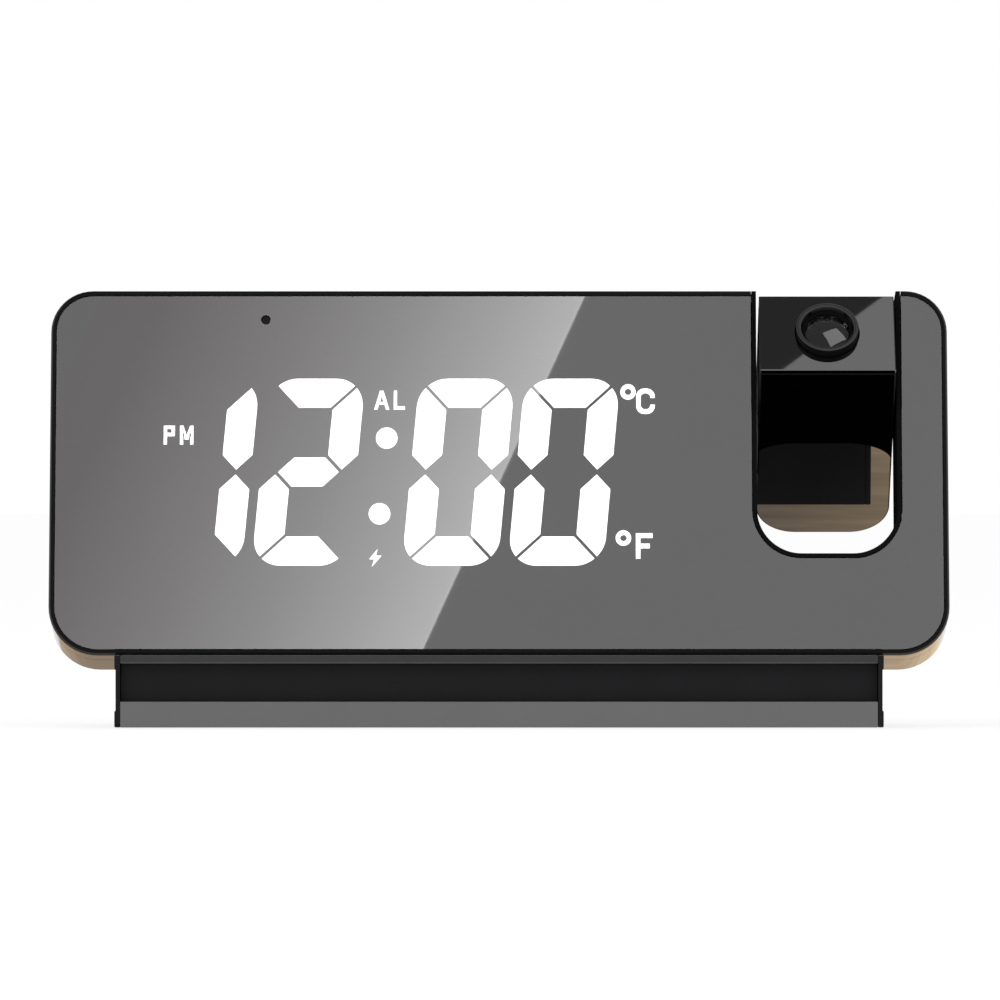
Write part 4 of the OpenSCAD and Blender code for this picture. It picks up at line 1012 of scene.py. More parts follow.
        def in_groove(spot: Vector, normal: Vector) -> bool:
            """Whether a face is the mouth of a groove."""
            across = any(start < spot[axis] < start + width for start in starts)
            return normal.z * side > FACING and across and ends[0] < spot[other] < ends[1]

        Bench.press(thing, in_groove, (0.0, 0.0, depth))
        with Bench.edit(thing):
            bpy.ops.mesh.select_all(action="SELECT")
            bpy.ops.mesh.dissolve_limited(angle_limit=FLAT_BEND)

    @staticmethod
    def taper(thing: bpy.types.Object, height: float, share: float) -> None:
        """Narrows one end of a piece about the Z axis.

        Args:
            thing: The piece.
            height: Height of the end, in millimetres.
            share: Its width after, as a share of before.
        """
        centre = (0.0, 0.0, height * MM)
        with Bench.edit(thing):
            Bench.pick(thing, lambda f: abs(f.calc_center_median().z / MM - height) < TOUCH / 2)
            bpy.ops.transform.resize(value=(share, share, 1.0), center_override=centre)

    @staticmethod
    def swell(
        thing: bpy.types.Object, test: Callable[[Vector, Vector], bool], share: float
    ) -> None:
        """Extrudes faces away from the Z axis, which sinks a pocket in the wall of a bore.

        Args:
            thing: The piece.
            test: What a face's middle, in millimetres, and normal must pass.
            share: Their distance from the axis after, as a share of before.
        """
        with Bench.edit(thing):
            found = Bench.pick(thing, lambda f: test(f.calc_center_median() / MM, f.normal))
            if found:
                bpy.ops.mesh.extrude_region_move()
                bpy.ops.transform.resize(value=(share, share, 1.0), center_override=(0.0,) * 3)
            log.info("%s: %d faces swelled", thing.name, found)

    @staticmethod
    def join(pieces: Sequence[bpy.types.Object], name: str) -> bpy.types.Object:
        """Joins pieces into one.

        Args:
            pieces: The pieces.
            name: The joined piece's name.

        Returns:
            The joined piece.
        """
        Bench.take(pieces[0])
        for piece in pieces:
            piece.select_set(True)
        bpy.ops.object.join()
        pieces[0].name = name
        return pieces[0]

    @staticmethod
    def cut(thing: bpy.types.Object, cutter: bpy.types.Object) -> None:
        """Cuts one piece's shape out of another, and takes the cutter away.

        Args:
            thing: The piece.
            cutter: The shape that is cut out.
        """
        Bench.modify(thing, "BOOLEAN", object=cutter, operation="DIFFERENCE", solver="EXACT")
        bpy.data.objects.remove(cutter)

    @staticmethod
    def copy(thing: bpy.types.Object, name: str, matrix: Matrix) -> bpy.types.Object:
        """A copy of a piece with its own mesh, placed.

        Args:
            thing: The piece.
            name: The copy's name.
            matrix: Where the copy goes.

        Returns:
            The copy.
        """
        made = bpy.data.objects.new(name, thing.data.copy())
        bpy.context.scene.collection.objects.link(made)
        made.data.transform(matrix)
        return made

    @staticmethod
    def copy_solid(node: str, name: str) -> bpy.types.Object:
        """A merged copy of a solid's mesh, with its flat faces joined.

        Args:
            node: The solid.
            name: The copy's name.

        Returns:
            The copy.
        """
        thing = bpy.data.objects.new(name, frame["nodes"][node].data.copy())
        bpy.context.scene.collection.objects.link(thing)
        thing.data.materials.clear()
        with Bench.edit(thing):
            bpy.ops.mesh.select_all(action="SELECT")
            bpy.ops.mesh.remove_doubles(threshold=MERGE_REACH)
            bpy.ops.mesh.dissolve_limited(angle_limit=FLAT_BEND)
        return thing


@dataclass(frozen=True)
class Screw:
    """A pan-head screw with a cross recess and a threaded shank, its head's top upwards."""

    head_d: float
    head_h: float
    shank_d: float
    length: float
    drive_l: float
    drive_w: float = 0.5
    pitch: float = 0.7
    drive_depth: float = 0.65
    drive_taper: float = 0.45
    root: float = 0.82
    point: float = 0.5

    def make(self, name: str) -> bpy.types.Object:
        """Models the screw.

        Args:
            name: The piece's name.

        Returns:
            The screw, its head's top at the origin.
        """
        head, shank = self.head_d / 2, self.shank_d / 2
        under, tip = -self.head_h, -self.length
        profile = [(0.0, 0.0), (head * 0.6, -0.03), (head * 0.88, -0.16), (head, -0.4)]
        profile += [(head, under + 0.06), (head - 0.06, under), (shank, under)]
        while under - self.pitch > tip + self.point:
            profile += [(shank, under - 0.1), (shank * self.root, under - self.pitch / 2)]
            under -= self.pitch
        profile += [(shank * 0.9, tip + self.point), (shank * 0.4, tip), (0.0, tip)]
        thing = Bench.lathe(name, profile, 28)
        half, wide, floor = self.drive_l / 2, self.drive_w / 2, -self.drive_depth
        bars = {"recess_a": (half, wide), "recess_b": (wide, half)}
        boxes = [Bench.box(bar, (-x, -y, floor), (x, y, 1.0)) for bar, (x, y) in bars.items()]
        for box in boxes:
            Bench.taper(box, floor, self.drive_taper)
            Bench.cut(thing, box)
        Bench.smooth(thing, 40.0)
        return thing


def lens_section(
    diameter: float, thickness: float, face_r: float, low: float
) -> list[tuple[float, float]]:
    """Half section of a round lens with a flat back and a ground edge.

    Args:
        diameter: The lens's diameter, in millimetres.
        thickness: Its thickness in the middle.
        face_r: Radius of its round face.
        low: Height of its flat back.

    Returns:
        Points as [radius, height], from the face's middle to the back's middle.
    """
    steps, ground = 20, 0.12
    half, centre = diameter / 2, low + thickness - face_r
    radii = [half * i / steps for i in range(steps + 1)]
    face = [(r, centre + math.sqrt(face_r * face_r - r * r)) for r in radii]
    return face + [(half, low + ground), (half - ground, low), (0.0, low)]


@dataclass
class Assembly:
    """A sub-assembly: makes pieces, dresses them and sets them on their bodies."""

    body: str = "clock_body"
    made: list[str] = field(default_factory=list)

    def fit(
        self,
        thing: bpy.types.Object,
        look: Look,
        slot: str,
        nodes: Sequence[str],
        body: Optional[str] = None,
        matrix: Optional[Matrix] = None,
    ) -> bpy.types.Object:
        """Places, dresses and fixes a new piece.

        Args:
            thing: The piece.
            look: Its finish.
            slot: The record's slot; not used.
            nodes: The solids that it stands for.
            body: The body that it rides on; the assembly's own if not given.
            matrix: Its local frame, applied to its mesh.

        Returns:
            The piece.
        """
        if matrix is not None:
            thing.data.transform(matrix)
        thing.data.materials.clear()
        thing.data.materials.append(look.material)
        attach(thing, body or self.body)
        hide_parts(*nodes)
        self.made.append(thing.name)
        faces = len(thing.data.polygons)
        log.info("piece %s on %s: %d faces", thing.name, body or self.body, faces)
        return thing

    def soften(
        self,
        node: str,
        name: str,
        look: Look,
        slot: str,
        width: float,
        body: Optional[str] = None,
        flat: bool = False,
    ) -> bpy.types.Object:
        """A solid with its edges rounded, in place of the solid itself.

        Args:
            node: The solid.
            name: The new piece's name.
            look: Its finish.
            slot: The record's slot.
            width: Width of the rounding, in millimetres.
            body: The body that it rides on.
            flat: Whether its flat faces mirror.

        Returns:
            The new piece.
        """
        thing = Bench.copy_solid(node, name)
        Bench.round_off(thing, width, flat)
        return self.fit(thing, look, slot, [node], body)

    def screws(
        self,
        node: str,
        name: str,
        model: Screw,
        frame_of: Matrix,
        way: Facing = Facing.BACK,
        look: Look = Look.BLACK_STEEL,
    ) -> None:
        """Screws of one node, modelled once and copied to their places.

        Args:
            node: The solids that they stand for.
            name: The piece's name.
            model: The screw.
            frame_of: The frame that the screws are square to.
            way: The way that their heads face.
            look: Their finish.
        """
        pattern = model.make(name + "_pattern")
        copies = []
        for number, (low, high) in enumerate(Places.islands(node, frame_of)):
            middle = (low + high) / 2
            back = way is Facing.BACK
            spot = (middle.x, high.y if back else middle.y, middle.z if back else low.z)
            spin = Matrix.Rotation(math.radians(SCREW_TURN * number), 4, "Z")
            matrix = Places.facing(frame_of, spot, way) @ spin
            copies.append(Bench.copy(pattern, f"{name}_{number}", matrix))
        bpy.data.objects.remove(pattern)
        self.fit(Bench.join(copies, name), look, "screw_steel", [node])

    @staticmethod
    def partly(
        thing: bpy.types.Object, look: Look, test: Callable[[Vector, Vector], bool]
    ) -> None:
        """Gives some faces of a finished piece a second finish.

        Args:
            thing: The piece.
            look: The second finish.
            test: What a face's middle and normal must pass.
        """
        thing.data.materials.append(look.material)
        for face in thing.data.polygons:
            if test(face.center, face.normal):
                face.material_index = len(thing.data.materials) - 1

    def dress(self, looks: Mapping[str, Look]) -> None:
        """Gives solids that stay as they are their materials.

        Args:
            looks: The finish of each node.
        """
        for node, look in looks.items():
            thing = frame["nodes"][node]
            if not thing.material_slots:
                thing.data.materials.append(look.material)
            for slot in thing.material_slots:
                slot.material = look.material
            log.info("node %s dressed as %s", node, look.value.name)


# ---------- Clock body ----------


@dataclass
class Front(Assembly):
    """Mirror lens, the thin frame round it and the liner of the projector's slot."""

    half_w: float = 94.0
    height: float = 78.0
    top_r: float = 8.8
    low_r: float = 10.4
    rim_round: float = 0.65
    rim_depth: float = 1.75
    lens_edge: float = 0.1
    frame_edge: float = 0.08
    liner_edge: float = 0.08
    liner_corner: float = 2.6
    rim_facing: float = 0.86

    def inside(self, spot: Vector) -> tuple[float, float]:
        """Where a point lies in the body.

        Args:
            spot: The point, in metres.

        Returns:
            Its distance inside the body's outline and behind the mirror face, in millimetres.
        """
        here = (places.body.inverted() @ spot) / MM
        upper = here.z > self.height / 2
        radius = self.top_r if upper else self.low_r
        across = abs(here.x) - self.half_w + radius
        along = here.z - self.height + radius if upper else radius - here.z
        if across > 0.0 and along > 0.0:
            return radius - math.hypot(across, along), here.y
        return radius - max(across, along), here.y

    def outer(self, edge: bmesh.types.BMEdge) -> bool:
        """Whether an edge runs round the outside of the face."""
        spots = [self.inside(vertex.co) for vertex in edge.verts]
        return all(depth < 1.5 * TOUCH and behind < TOUCH for depth, behind in spots)

    def on_rim(self, spot: Vector, normal: Vector) -> bool:
        """Whether a face belongs to the dull front of the rim, or to the ledge behind the lens."""
        depth, behind = self.inside(spot)
        if behind > self.rim_depth:
            return False
        return depth > self.rim_round or normal.dot(places.face) > self.rim_facing

    def frame(self) -> None:
        """The frame, rounded round its outside, with a dull rim."""
        thing = Bench.copy_solid("front_bezel", "front_frame")
        Bench.bevel(thing, self.outer, self.rim_round, 4)
        Bench.round_off(thing, self.frame_edge)
        self.fit(thing, Look.GLOSS_BLACK, "gloss_black", ["front_bezel"])
        self.partly(thing, Look.RIM_BLACK, self.on_rim)

    def build(self) -> None:
        """Makes the front."""
        sheet = self.soften(
            "front_lens", "mirror_lens_sheet", Look.MIRROR_FRONT, "mirror_lens", self.lens_edge,
            flat=True,
        )
        self.partly(sheet, Look.CLEAR_BACK, lambda _, normal: normal.dot(places.face) < -FACING)
        self.frame()
        lining = Bench.copy_solid("slot_liner", "slot_lining")
        Bench.bevel(lining, self.outer, self.rim_round, 4)
        back = Places.extent("slot_liner", places.body)[1].y

        def back_corner(edge: bmesh.types.BMEdge) -> bool:
            """Whether an edge is a top corner of the liner at the back."""
            spots = [(places.body.inverted() @ vertex.co) / MM for vertex in edge.verts]
            return all(s.y > back - TOUCH and s.z > self.height - TOUCH for s in spots)

        Bench.bevel(lining, back_corner, self.liner_corner, 6)
        Bench.round_off(lining, self.liner_edge)
        self.fit(lining, Look.SLOT_BLACK, "gloss_black", ["slot_liner"])
        self.dress({"hinge_bushes": Look.NYLON})


@dataclass
class Case(Assembly):
    """Middle shell and back cover with what is fixed to them."""

    shell_edge: float = 0.2
    cover_edge: float = 0.3
    door_edge: float = 0.25
    screw: Screw = Screw(4.0, 1.2, 2.0, 8.7, 2.5)

    def build(self) -> None:
        """Makes the case."""
        self.soften("body_shell", "middle_shell", Look.GLOSS_BLACK, "gloss_black", self.shell_edge)
        self.soften("rear_cover", "back_cover", Look.SATIN_BLACK, "satin_black", self.cover_edge)
        self.soften(
            "battery_door", "battery_bay_door", Look.SATIN_BLACK, "satin_black", self.door_edge,
            "battery_door_body",
        )
        self.screws("cover_screws", "back_cover_screws", self.screw, places.body)


@dataclass
class Display(Assembly):
    """Digits, signs, their light cavities and lamps."""

    sign_draft: float = 0.14

    def build(self) -> None:
        """Dresses the display, and draws some signs' light guides in from their cavities."""
        signs = Bench.copy_solid("indicator_segments", "lit_signs_guides")
        guides = Places.islands("indicator_segments", places.body)
        low, high = min(guides, key=lambda box: box[1].z - box[0].z)

        def drawn_in(face: bmesh.types.BMFace) -> bool:
            """Whether a face belongs to a guide left of the middle, but not to the smallest."""
            spot = (places.body.inverted() @ face.calc_center_median()) / MM
            smallest = all(low[i] - TOUCH / 2 < spot[i] < high[i] + TOUCH / 2 for i in (0, 2))
            return spot.x < 0.0 and not smallest

        with Bench.edit(signs):
            bpy.ops.mesh.select_all(action="SELECT")
            bpy.ops.mesh.normals_make_consistent(inside=False)
            Bench.pick(signs, drawn_in)
            bpy.ops.transform.shrink_fatten(value=-self.sign_draft * MM, use_even_offset=True)
        self.fit(signs, Look.SIGN_LIT, "lit_white", ["indicator_segments"])
        self.dress({
            "digit_frame": Look.INNER_BLACK, "lit_segments": Look.LIT,
            "unlit_segments": Look.UNLIT, "segment_leds": Look.LAMP,
            "display_board": Look.BOARD, "light_sensor": Look.SENSOR_BLACK,
        })


@dataclass
class Insides(Assembly):
    """Boards, leads, cells and speaker."""

    screw: Screw = Screw(4.0, 1.2, 2.0, 6.9, 2.5)
    speaker_r: float = 12.0
    cone_r: float = 9.4
    cap_r: float = 3.4
    magnet_r: float = 6.8
    speaker_t: float = 5.0

    def speaker(self) -> None:
        """The speaker: pressed basket, rolled surround, paper cone, dust cap and magnet."""
        low, high = Places.extent("speaker", places.body)
        rim, cone, cap = self.speaker_r, self.cone_r, self.cap_r
        magnet, rear = self.magnet_r, -self.speaker_t
        profile = [
            (0.0, -1.2), (cap * 0.5, -1.4), (cap * 0.85, -1.9), (cap, -2.5), (cone, -0.7),
            (cone + 0.4, -0.3), (cone + 0.8, -0.08), (cone + 1.2, -0.3), (cone + 1.4, -0.45),
            (rim - 0.8, -0.05), (rim - 0.1, -0.05), (rim, -0.15), (rim, -1.4), (rim - 1.5, -1.7),
            (magnet + 0.5, -3.1), (magnet, -3.2), (magnet, rear + 0.2), (magnet - 0.2, rear),
            (0.0, rear),
        ]
        thing = Bench.lathe("round_speaker", profile, 64)
        Bench.smooth(thing, 38.0)
        spot = ((low.x + high.x) / 2, high.y, (low.z + high.z) / 2)
        matrix = Places.facing(places.body, spot)
        self.fit(thing, Look.PAPER, "matte_black", ["speaker"], matrix=matrix)

    def build(self) -> None:
        """Dresses what is inside the case."""
        self.speaker()
        self.screws(
            "board_screws", "main_board_screws", self.screw, places.body, look=Look.STEEL
        )
        self.dress({
            "main_board": Look.BOARD, "board_parts": Look.PARTS,
            "button_switches": Look.BUTTON_BLACK, "snooze_switch": Look.BUTTON_BLACK,
            "speaker_gasket": Look.FOAM, "battery_cells": Look.CELL,
            "battery_springs": Look.STEEL, "battery_plates": Look.STEEL,
            "power_board": Look.BOARD, "power_socket": Look.STEEL,
            "board_leads": Look.RED_LEAD, "projector_lead": Look.BLACK_LEAD,
            "head_lead": Look.BLACK_LEAD,
        })


class Sign(Enum):
    """Raised sign on a rear button, as bars from [x, z] to [x, z] that are so wide."""

    MODE = ((-0.9, 0.5, 0.9, 0.5, 0.3), (-0.9, 0.0, 0.9, 0.0, 0.3), (-0.9, -0.5, 0.9, -0.5, 0.3))
    SET = ((-0.55, -0.55, 0.55, -0.55, 0.3), (-0.55, 0.55, 0.55, 0.55, 0.3),
           (-0.55, -0.7, -0.55, 0.7, 0.3), (0.55, -0.7, 0.55, 0.7, 0.3))
    PLUS = ((-1.0, 0.0, 1.0, 0.0, 0.36), (0.0, -1.0, 0.0, 1.0, 0.36))
    MINUS = ((-1.0, 0.0, 1.0, 0.0, 0.36),)
    PROJECTION = ((-0.9, 0.7, 0.9, 0.7, 0.3), (-0.9, 0.8, 0.0, -0.8, 0.3),
                  (0.9, 0.8, 0.0, -0.8, 0.3))


@dataclass
class Controls(Assembly):
    """Snooze bar on the top and the five buttons on the back."""

    cap_r: float = 2.75
    flange_r: float = 3.75
    flange_t: float = 0.8
    dish: float = 0.28
    sign_h: float = 0.2
    sign_taper: float = 0.82
    snooze_flange_t: float = 1.1
    flange_w: float = 1.0
    flange_lap: float = 0.6
    grooves: tuple[int, float, float] = (9, 2.4, 1.1)
    groove_depth: float = 0.35
    groove_margin: float = 0.9
    key_edge: float = 0.16
    flange_edge: float = 0.15

    def bar(self, name: str, ends: Sequence[float], low: float, high: float) -> bpy.types.Object:
        """A raised stroke of a sign.

        Args:
            name: The stroke's name.
            ends: Its two ends and its width, as [x, y, x, y, width].
            low: Height of its foot.
            high: Height of its top.

        Returns:
            The stroke, with its top narrowed.
        """
        x0, y0, x1, y1, width = ends
        length = math.hypot(x1 - x0, y1 - y0)
        half, side = length / 2, width / 2
        thing = Bench.box(name, (-half, -side, low), (half, side, high))
        Bench.taper(thing, high, self.sign_taper)
        turn = Matrix.Rotation(math.atan2(y1 - y0, x1 - x0), 4, "Z")
        shift = Matrix.Translation(Vector(((x0 + x1) / 2, (y0 + y1) / 2, 0.0)) * MM)
        thing.data.transform(shift @ turn)
        return thing

    def button(self, name: str, sign: Sign) -> None:
        """A rear button: dished cap with a rolled edge and a raised sign, on its flange.

        Args:
            name: The button's name.
            sign: Its sign.
        """
        low, high = Places.extent(f"{name}_button", places.body)
        top, cap = high.y - low.y, self.cap_r
        floor = top - self.dish
        profile = [
            (0.0, floor), (cap * 0.55, floor + 0.03), (cap * 0.78, floor + 0.12),
            (cap - 0.42, top - 0.04), (cap - 0.28, top), (cap - 0.16, top - 0.03),
            (cap - 0.05, top - 0.12), (cap, top - 0.28), (cap, self.flange_t),
            (self.flange_r - 0.1, self.flange_t), (self.flange_r, self.flange_t - 0.1),
            (self.flange_r, 0.0), (0.0, 0.0),
        ]
        pieces = [Bench.lathe(f"{name}_cap", profile, 48)]
        for number, ends in enumerate(sign.value):
            stroke = f"{name}_stroke_{number}"
            pieces.append(self.bar(stroke, ends, floor - 0.1, floor + self.sign_h))
        thing = Bench.join(pieces, f"{name}_press_button")
        Bench.smooth(thing, 35.0)
        spot = ((low.x + high.x) / 2, low.y, (low.z + high.z) / 2)
        matrix = Places.facing(places.body, spot)
        node = f"{name}_button"
        self.fit(thing, Look.BUTTON_BLACK, "button_black", [node], f"{node}_body", matrix)

    def snooze(self) -> None:
        """The snooze bar: a round-edged key with cross grooves for the finger, on its flange."""
        low, high = Places.extent("snooze_bar", places.body)
        inset = Vector((self.flange_w, self.flange_w, 0.0))
        foot = low + inset + Vector((0.0, 0.0, self.snooze_flange_t - self.flange_lap))
        top = high - inset
        key = Bench.box("snooze_key", foot, top)
        ends = (foot.y + self.groove_margin, top.y - self.groove_margin)
        Bench.grooves(key, 0, self.grooves, ends, -self.groove_depth)
        Bench.round_off(key, self.key_edge)
        flange = Bench.box("snooze_flange", low, (high.x, high.y, low.z + self.snooze_flange_t))
        Bench.round_off(flange, self.flange_edge)
        thing = Bench.join([key, flange], "snooze_press_bar")
        self.fit(
            thing, Look.SATIN_BLACK, "button_black", ["snooze_bar"], "snooze_bar_body", places.body
        )

    def build(self) -> None:
        """Makes the controls."""
        self.snooze()
        for sign in Sign:
            self.button(sign.name.lower(), sign)


@dataclass
class Foot(Assembly):
    """Foot under the body: shell with its flange, band, glossy base, end caps and pad."""

    edge: float = 0.2
    band_edge: float = 0.1
    pad_edge: float = 0.15
    grooves: tuple[int, float, float] = (5, 3.4, 1.2)
    groove_depth: float = 0.35
    groove_margin: float = 2.5
    foot_screw: Screw = Screw(4.0, 1.2, 2.0, 8.5, 2.5)
    seat_screw: Screw = Screw(4.0, 1.2, 2.0, 9.7, 2.5)

    def pad(self) -> None:
        """The rubber pad, with long grooves in its underside."""
        low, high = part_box("foot_pad")
        low, high = vector(low) / MM, vector(high) / MM
        thing = Bench.box("foot_rubber_pad", low, high)
        ends = (low.x + self.groove_margin, high.x - self.groove_margin)
        Bench.grooves(thing, 1, self.grooves, ends, self.groove_depth)
        Bench.round_off(thing, self.pad_edge)
        self.fit(thing, Look.RUBBER, "pad_rubber", ["foot_pad"])

    @staticmethod
    def on_flange(_: Vector, normal: Vector) -> bool:
        """Whether a face of the shell looks forwards, and not steeply down; these keep the darker
        tone, and the rest of the shell takes the painted highlight.
        """
        return normal.y < -0.5 and normal.z > -0.3

    @staticmethod
    def takes_painted_highlight(_: Vector, normal: Vector) -> bool:
        """Whether a face of an end cap looks up, and so takes the painted highlight."""
        return normal.z > 0.8

    def build(self) -> None:
        """Makes the foot."""
        edge, band_edge, flat = self.edge, self.band_edge, Matrix.Identity(4)
        # The shell takes the lighter tone, a painted highlight, except on its forward faces, so its
        # lower rounding shows a painted light line.
        shell = self.soften("foot_shell", "foot_top_shell", Look.FOOT_TOP, "satin_black", edge)
        self.partly(shell, Look.FLANGE_BLACK, self.on_flange)
        self.soften("foot_band", "foot_groove_band", Look.MATTE_BLACK, "matte_black", band_edge)
        self.soften("foot_base", "foot_lower_base", Look.GRAPHITE, "graphite_gloss", edge)
        caps = self.soften("foot_end_caps", "foot_side_caps", Look.DEEP_BLACK, "gloss_black", edge)
        # The end caps' tops take the lighter tone, a painted highlight.
        self.partly(caps, Look.FOOT_TOP, self.takes_painted_highlight)
        self.pad()
        down = Facing.DOWN
        self.screws("foot_screws", "foot_base_screws", self.foot_screw, flat, down)
        self.screws("seat_screws", "seat_fixing_screws", self.seat_screw, places.body, down)


@dataclass
class Projector(Assembly):
    """Tilting projector: case, mirror plates, optics and focus ring."""

    body: str = "projector"
    ring_r: float = 6.55
    ring_bore_r: float = 5.55
    ring_flange_r: float = 7.55
    ring_flange_t: float = 1.2
    notch_middles: tuple[float, ...] = (27.0, 147.0, 267.0)
    notch_half: float = 22.0
    notch_share: float = 1.09
    notch_l: float = 2.0
    notch_lip: float = 0.33
    barrel_r: float = 5.45
    barrel_bore_r: float = 3.95
    baffle_pitch: float = 0.6
    baffle_start: float = 4.2
    lens_seat_r: float = 4.7
    rear_seat_r: float = 4.3
    rear_seat_l: float = 3.4
    objective_face_r: float = 20.0
    lens_face_r: float = 9.2
    condenser_face_r: float = 9.0
    case_edge: float = 0.15
    cover_edge: float = 0.2
    plate_edge: float = 0.3
    lens_edge: float = 0.18
    screw: Screw = Screw(3.0, 0.6, 1.6, 9.05, 1.8, 0.35, 0.6)

    def ring(self) -> None:
        """The focus ring: smooth outside, rolled lip, and three finger notches in its bore."""
        low, high = Places.extent("focus_ring", places.head)
        top, wall, bore = high.z, self.ring_r, self.ring_bore_r
        flange, step = self.ring_flange_r, low.z + self.ring_flange_t
        deep = top - self.notch_l
        profile = [
            (bore, low.z), (flange, low.z), (flange, step), (wall, step), (wall, top - 0.3),
            (wall - 0.06, top - 0.12), (wall - 0.18, top - 0.03), (wall - 0.34, top),
            (bore + 0.3, top), (bore + 0.14, top - 0.04), (bore + 0.04, top - 0.14),
            (bore, top - 0.32), (bore, deep),
        ]
        thing = Bench.lathe("focus_ring_grip", profile, 72, True)

        def notch(spot: Vector, _: Vector) -> bool:
            """Whether a face of the bore lies in a notch."""
            angle = math.degrees(math.atan2(spot.y, spot.x))
            near = min(abs((angle - m + 180.0) % 360.0 - 180.0) for m in self.notch_middles)
            in_bore = math.hypot(spot.x, spot.y) < bore + TOUCH
            return near < self.notch_half and deep < spot.z < top - self.notch_lip and in_bore

        Bench.swell(thing, notch, self.notch_share)
        Bench.smooth(thing, 32.0)
        self.fit(
            thing, Look.RING_BLACK, "gloss_black", ["focus_ring"], "focus_ring_body", places.head
        )
        edge = (wall - 4 * TOUCH) * MM

        def outside(spot: Vector, _: Vector) -> bool:
            """Whether a face belongs to the ring's outer wall."""
            away = spot - places.pivot
            return (away - places.lens * away.dot(places.lens)).length > edge

        self.partly(thing, Look.RIM_BLACK, outside)

    def barrel(self) -> None:
        """The lens barrel, with a seat at each end and light baffles between them."""
        low, high = Places.extent("lens_barrel", places.head)
        base, top, bore = low.z, high.z, self.barrel_bore_r
        lens_low = Places.extent("objective_lens", places.head)[0].z
        wall, seat, rear_seat = self.barrel_r, self.lens_seat_r, self.rear_seat_r
        profile = [
            (rear_seat, base), (wall - 0.15, base), (wall, base + 0.15), (wall, top - 0.25),
            (wall - 0.1, top - 0.06), (wall - 0.22, top), (seat + 0.2, top), (seat, top - 0.3),
            (seat, lens_low), (bore, lens_low),
        ]
        height = lens_low - self.baffle_pitch
        while height > base + self.baffle_start:
            profile += [(bore, height), (bore + 0.3, height - 0.1), (bore + 0.3, height - 0.3)]
            height -= self.baffle_pitch
        profile += [(bore, base + self.rear_seat_l), (rear_seat, base + self.rear_seat_l)]
        thing = Bench.lathe("lens_barrel_tube", profile, 64, True)
        Bench.smooth(thing, 32.0)
        self.fit(
            thing, Look.SLOT_BLACK, "matte_black", ["lens_barrel"], "lens_barrel_body", places.head
        )

    def lens(
        self, node: str, name: str, face_r: float, look: Look, body: Optional[str] = None
    ) -> None:
        """A ground lens in place of its solid.

        Args:
            node: The solid.
            name: The piece's name.
            face_r: Radius of its round face.
            look: Its finish.
            body: The body that it rides on.
        """
        low, high = Places.extent(node, places.head)
        section = lens_section(high.x - low.x, high.z - low.z, face_r, low.z)
        thing = Bench.lathe(name, section, 64)
        Bench.smooth(thing, 25.0)
        self.fit(thing, look, "clear_lens", [node], body, places.head)

    def build(self) -> None:
        """Makes the projector."""
        self.soften(
            "projector_case", "projector_housing", Look.HOUSING_BLACK, "gloss_black",
            self.case_edge,
        )
        back = places.head.to_3x3() @ Vector((0.0, 1.0, 0.0))
        plate = self.soften(
            "projector_front_plate", "projector_mirror_plate", Look.MIRROR_PLATE, "mirror_lens",
            self.plate_edge, flat=True,
        )
        self.partly(plate, Look.RIM_BLACK, lambda _, normal: normal.dot(back) > -0.99)
        self.soften(
            "projector_lens_plate", "projector_lens_face", Look.MIRROR_PLATE, "mirror_lens",
            self.lens_edge, flat=True,
        )
        self.soften(
            "projector_back_cover", "projector_back", Look.SATIN_BLACK, "satin_black",
            self.cover_edge,
        )
        self.ring()
        self.barrel()
        self.lens(
            "objective_lens", "objective_glass", self.objective_face_r, Look.OBJECTIVE,
            "lens_barrel_body",
        )
        self.lens("rear_lens", "rear_glass", self.lens_face_r, Look.CLEAR, "lens_barrel_body")
        self.lens("condenser_lens", "condenser_glass", self.condenser_face_r, Look.CLEAR)
        self.screws("projector_screws", "projector_back_screws", self.screw, places.head)
        self.dress({
            "pivot_pins": Look.STEEL, "friction_washers": Look.NYLON,
            "optics_frame": Look.MATTE_BLACK, "lcd_slide": Look.SMOKE,
            "projection_led": Look.CLEAR, "led_board": Look.BOARD,
        })


# ---------- Studio ----------


@dataclass(frozen=True)
class Mirror:
    """A flat mirror, to find what a place on it shows."""

    point: Vector
    normal: Vector

    def shows(self, eye: Vector, through: Vector, reach: float) -> Vector:
        """What the eye sees in the mirror.

        Args:
            eye: The eye's place.
            through: A point on the line of sight.
            reach: How far past the mirror to go, in metres.

        Returns:
            The point that is seen there.
        """
        sight = (through - eye).normalized()
        far = (self.point - eye).dot(self.normal) / sight.dot(self.normal)
        bounce = sight - 2.0 * sight.dot(self.normal) * self.normal
        return eye + far * sight + reach * bounce


@dataclass(frozen=True)
class Dome:
    """A polished cap of a sphere, to find what a place on it shows."""

    centre: Vector
    radius: float

    def shows(self, eye: Vector, spot: Vector, reach: float) -> Vector:
        """What the eye sees at a place of the dome.

        Args:
            eye: The eye's place.
            spot: A point near the dome, which is moved onto it.
            reach: How far past the dome to go, in metres.

        Returns:
            The point that is seen there.
        """
        normal = (spot - self.centre).normalized()
        place = self.centre + normal * self.radius
        sight = (place - eye).normalized()
        return place + reach * (sight - 2.0 * sight.dot(normal) * normal)


def card_material(
    name: str, stops: Sequence[tuple[float, float]], warmth: Colour = (1.0, 1.0, 1.0)
) -> bpy.types.Material:
    """A card's light, from its left side to its right.

    Args:
        name: The material's name.
        stops: Pairs of a place from 0 to 1 and the light there.
        warmth: Tint of the light at its left side, which fades towards its right.

    Returns:
        The material.
    """
    graph = Graph(name)
    top = max(light for _, light in stops) * 1.02
    shades = []
    for place, light in stops:
        tint = [1.0 + (part - 1.0) * (1.0 - place) for part in warmth]
        shades.append((place, tuple(light * part / top for part in tint)))
    ramp = graph.node("ShaderNodeValToRGB", {"stops": shades}, {0: graph.across()})
    return graph.shine(ramp.outputs[0], top)


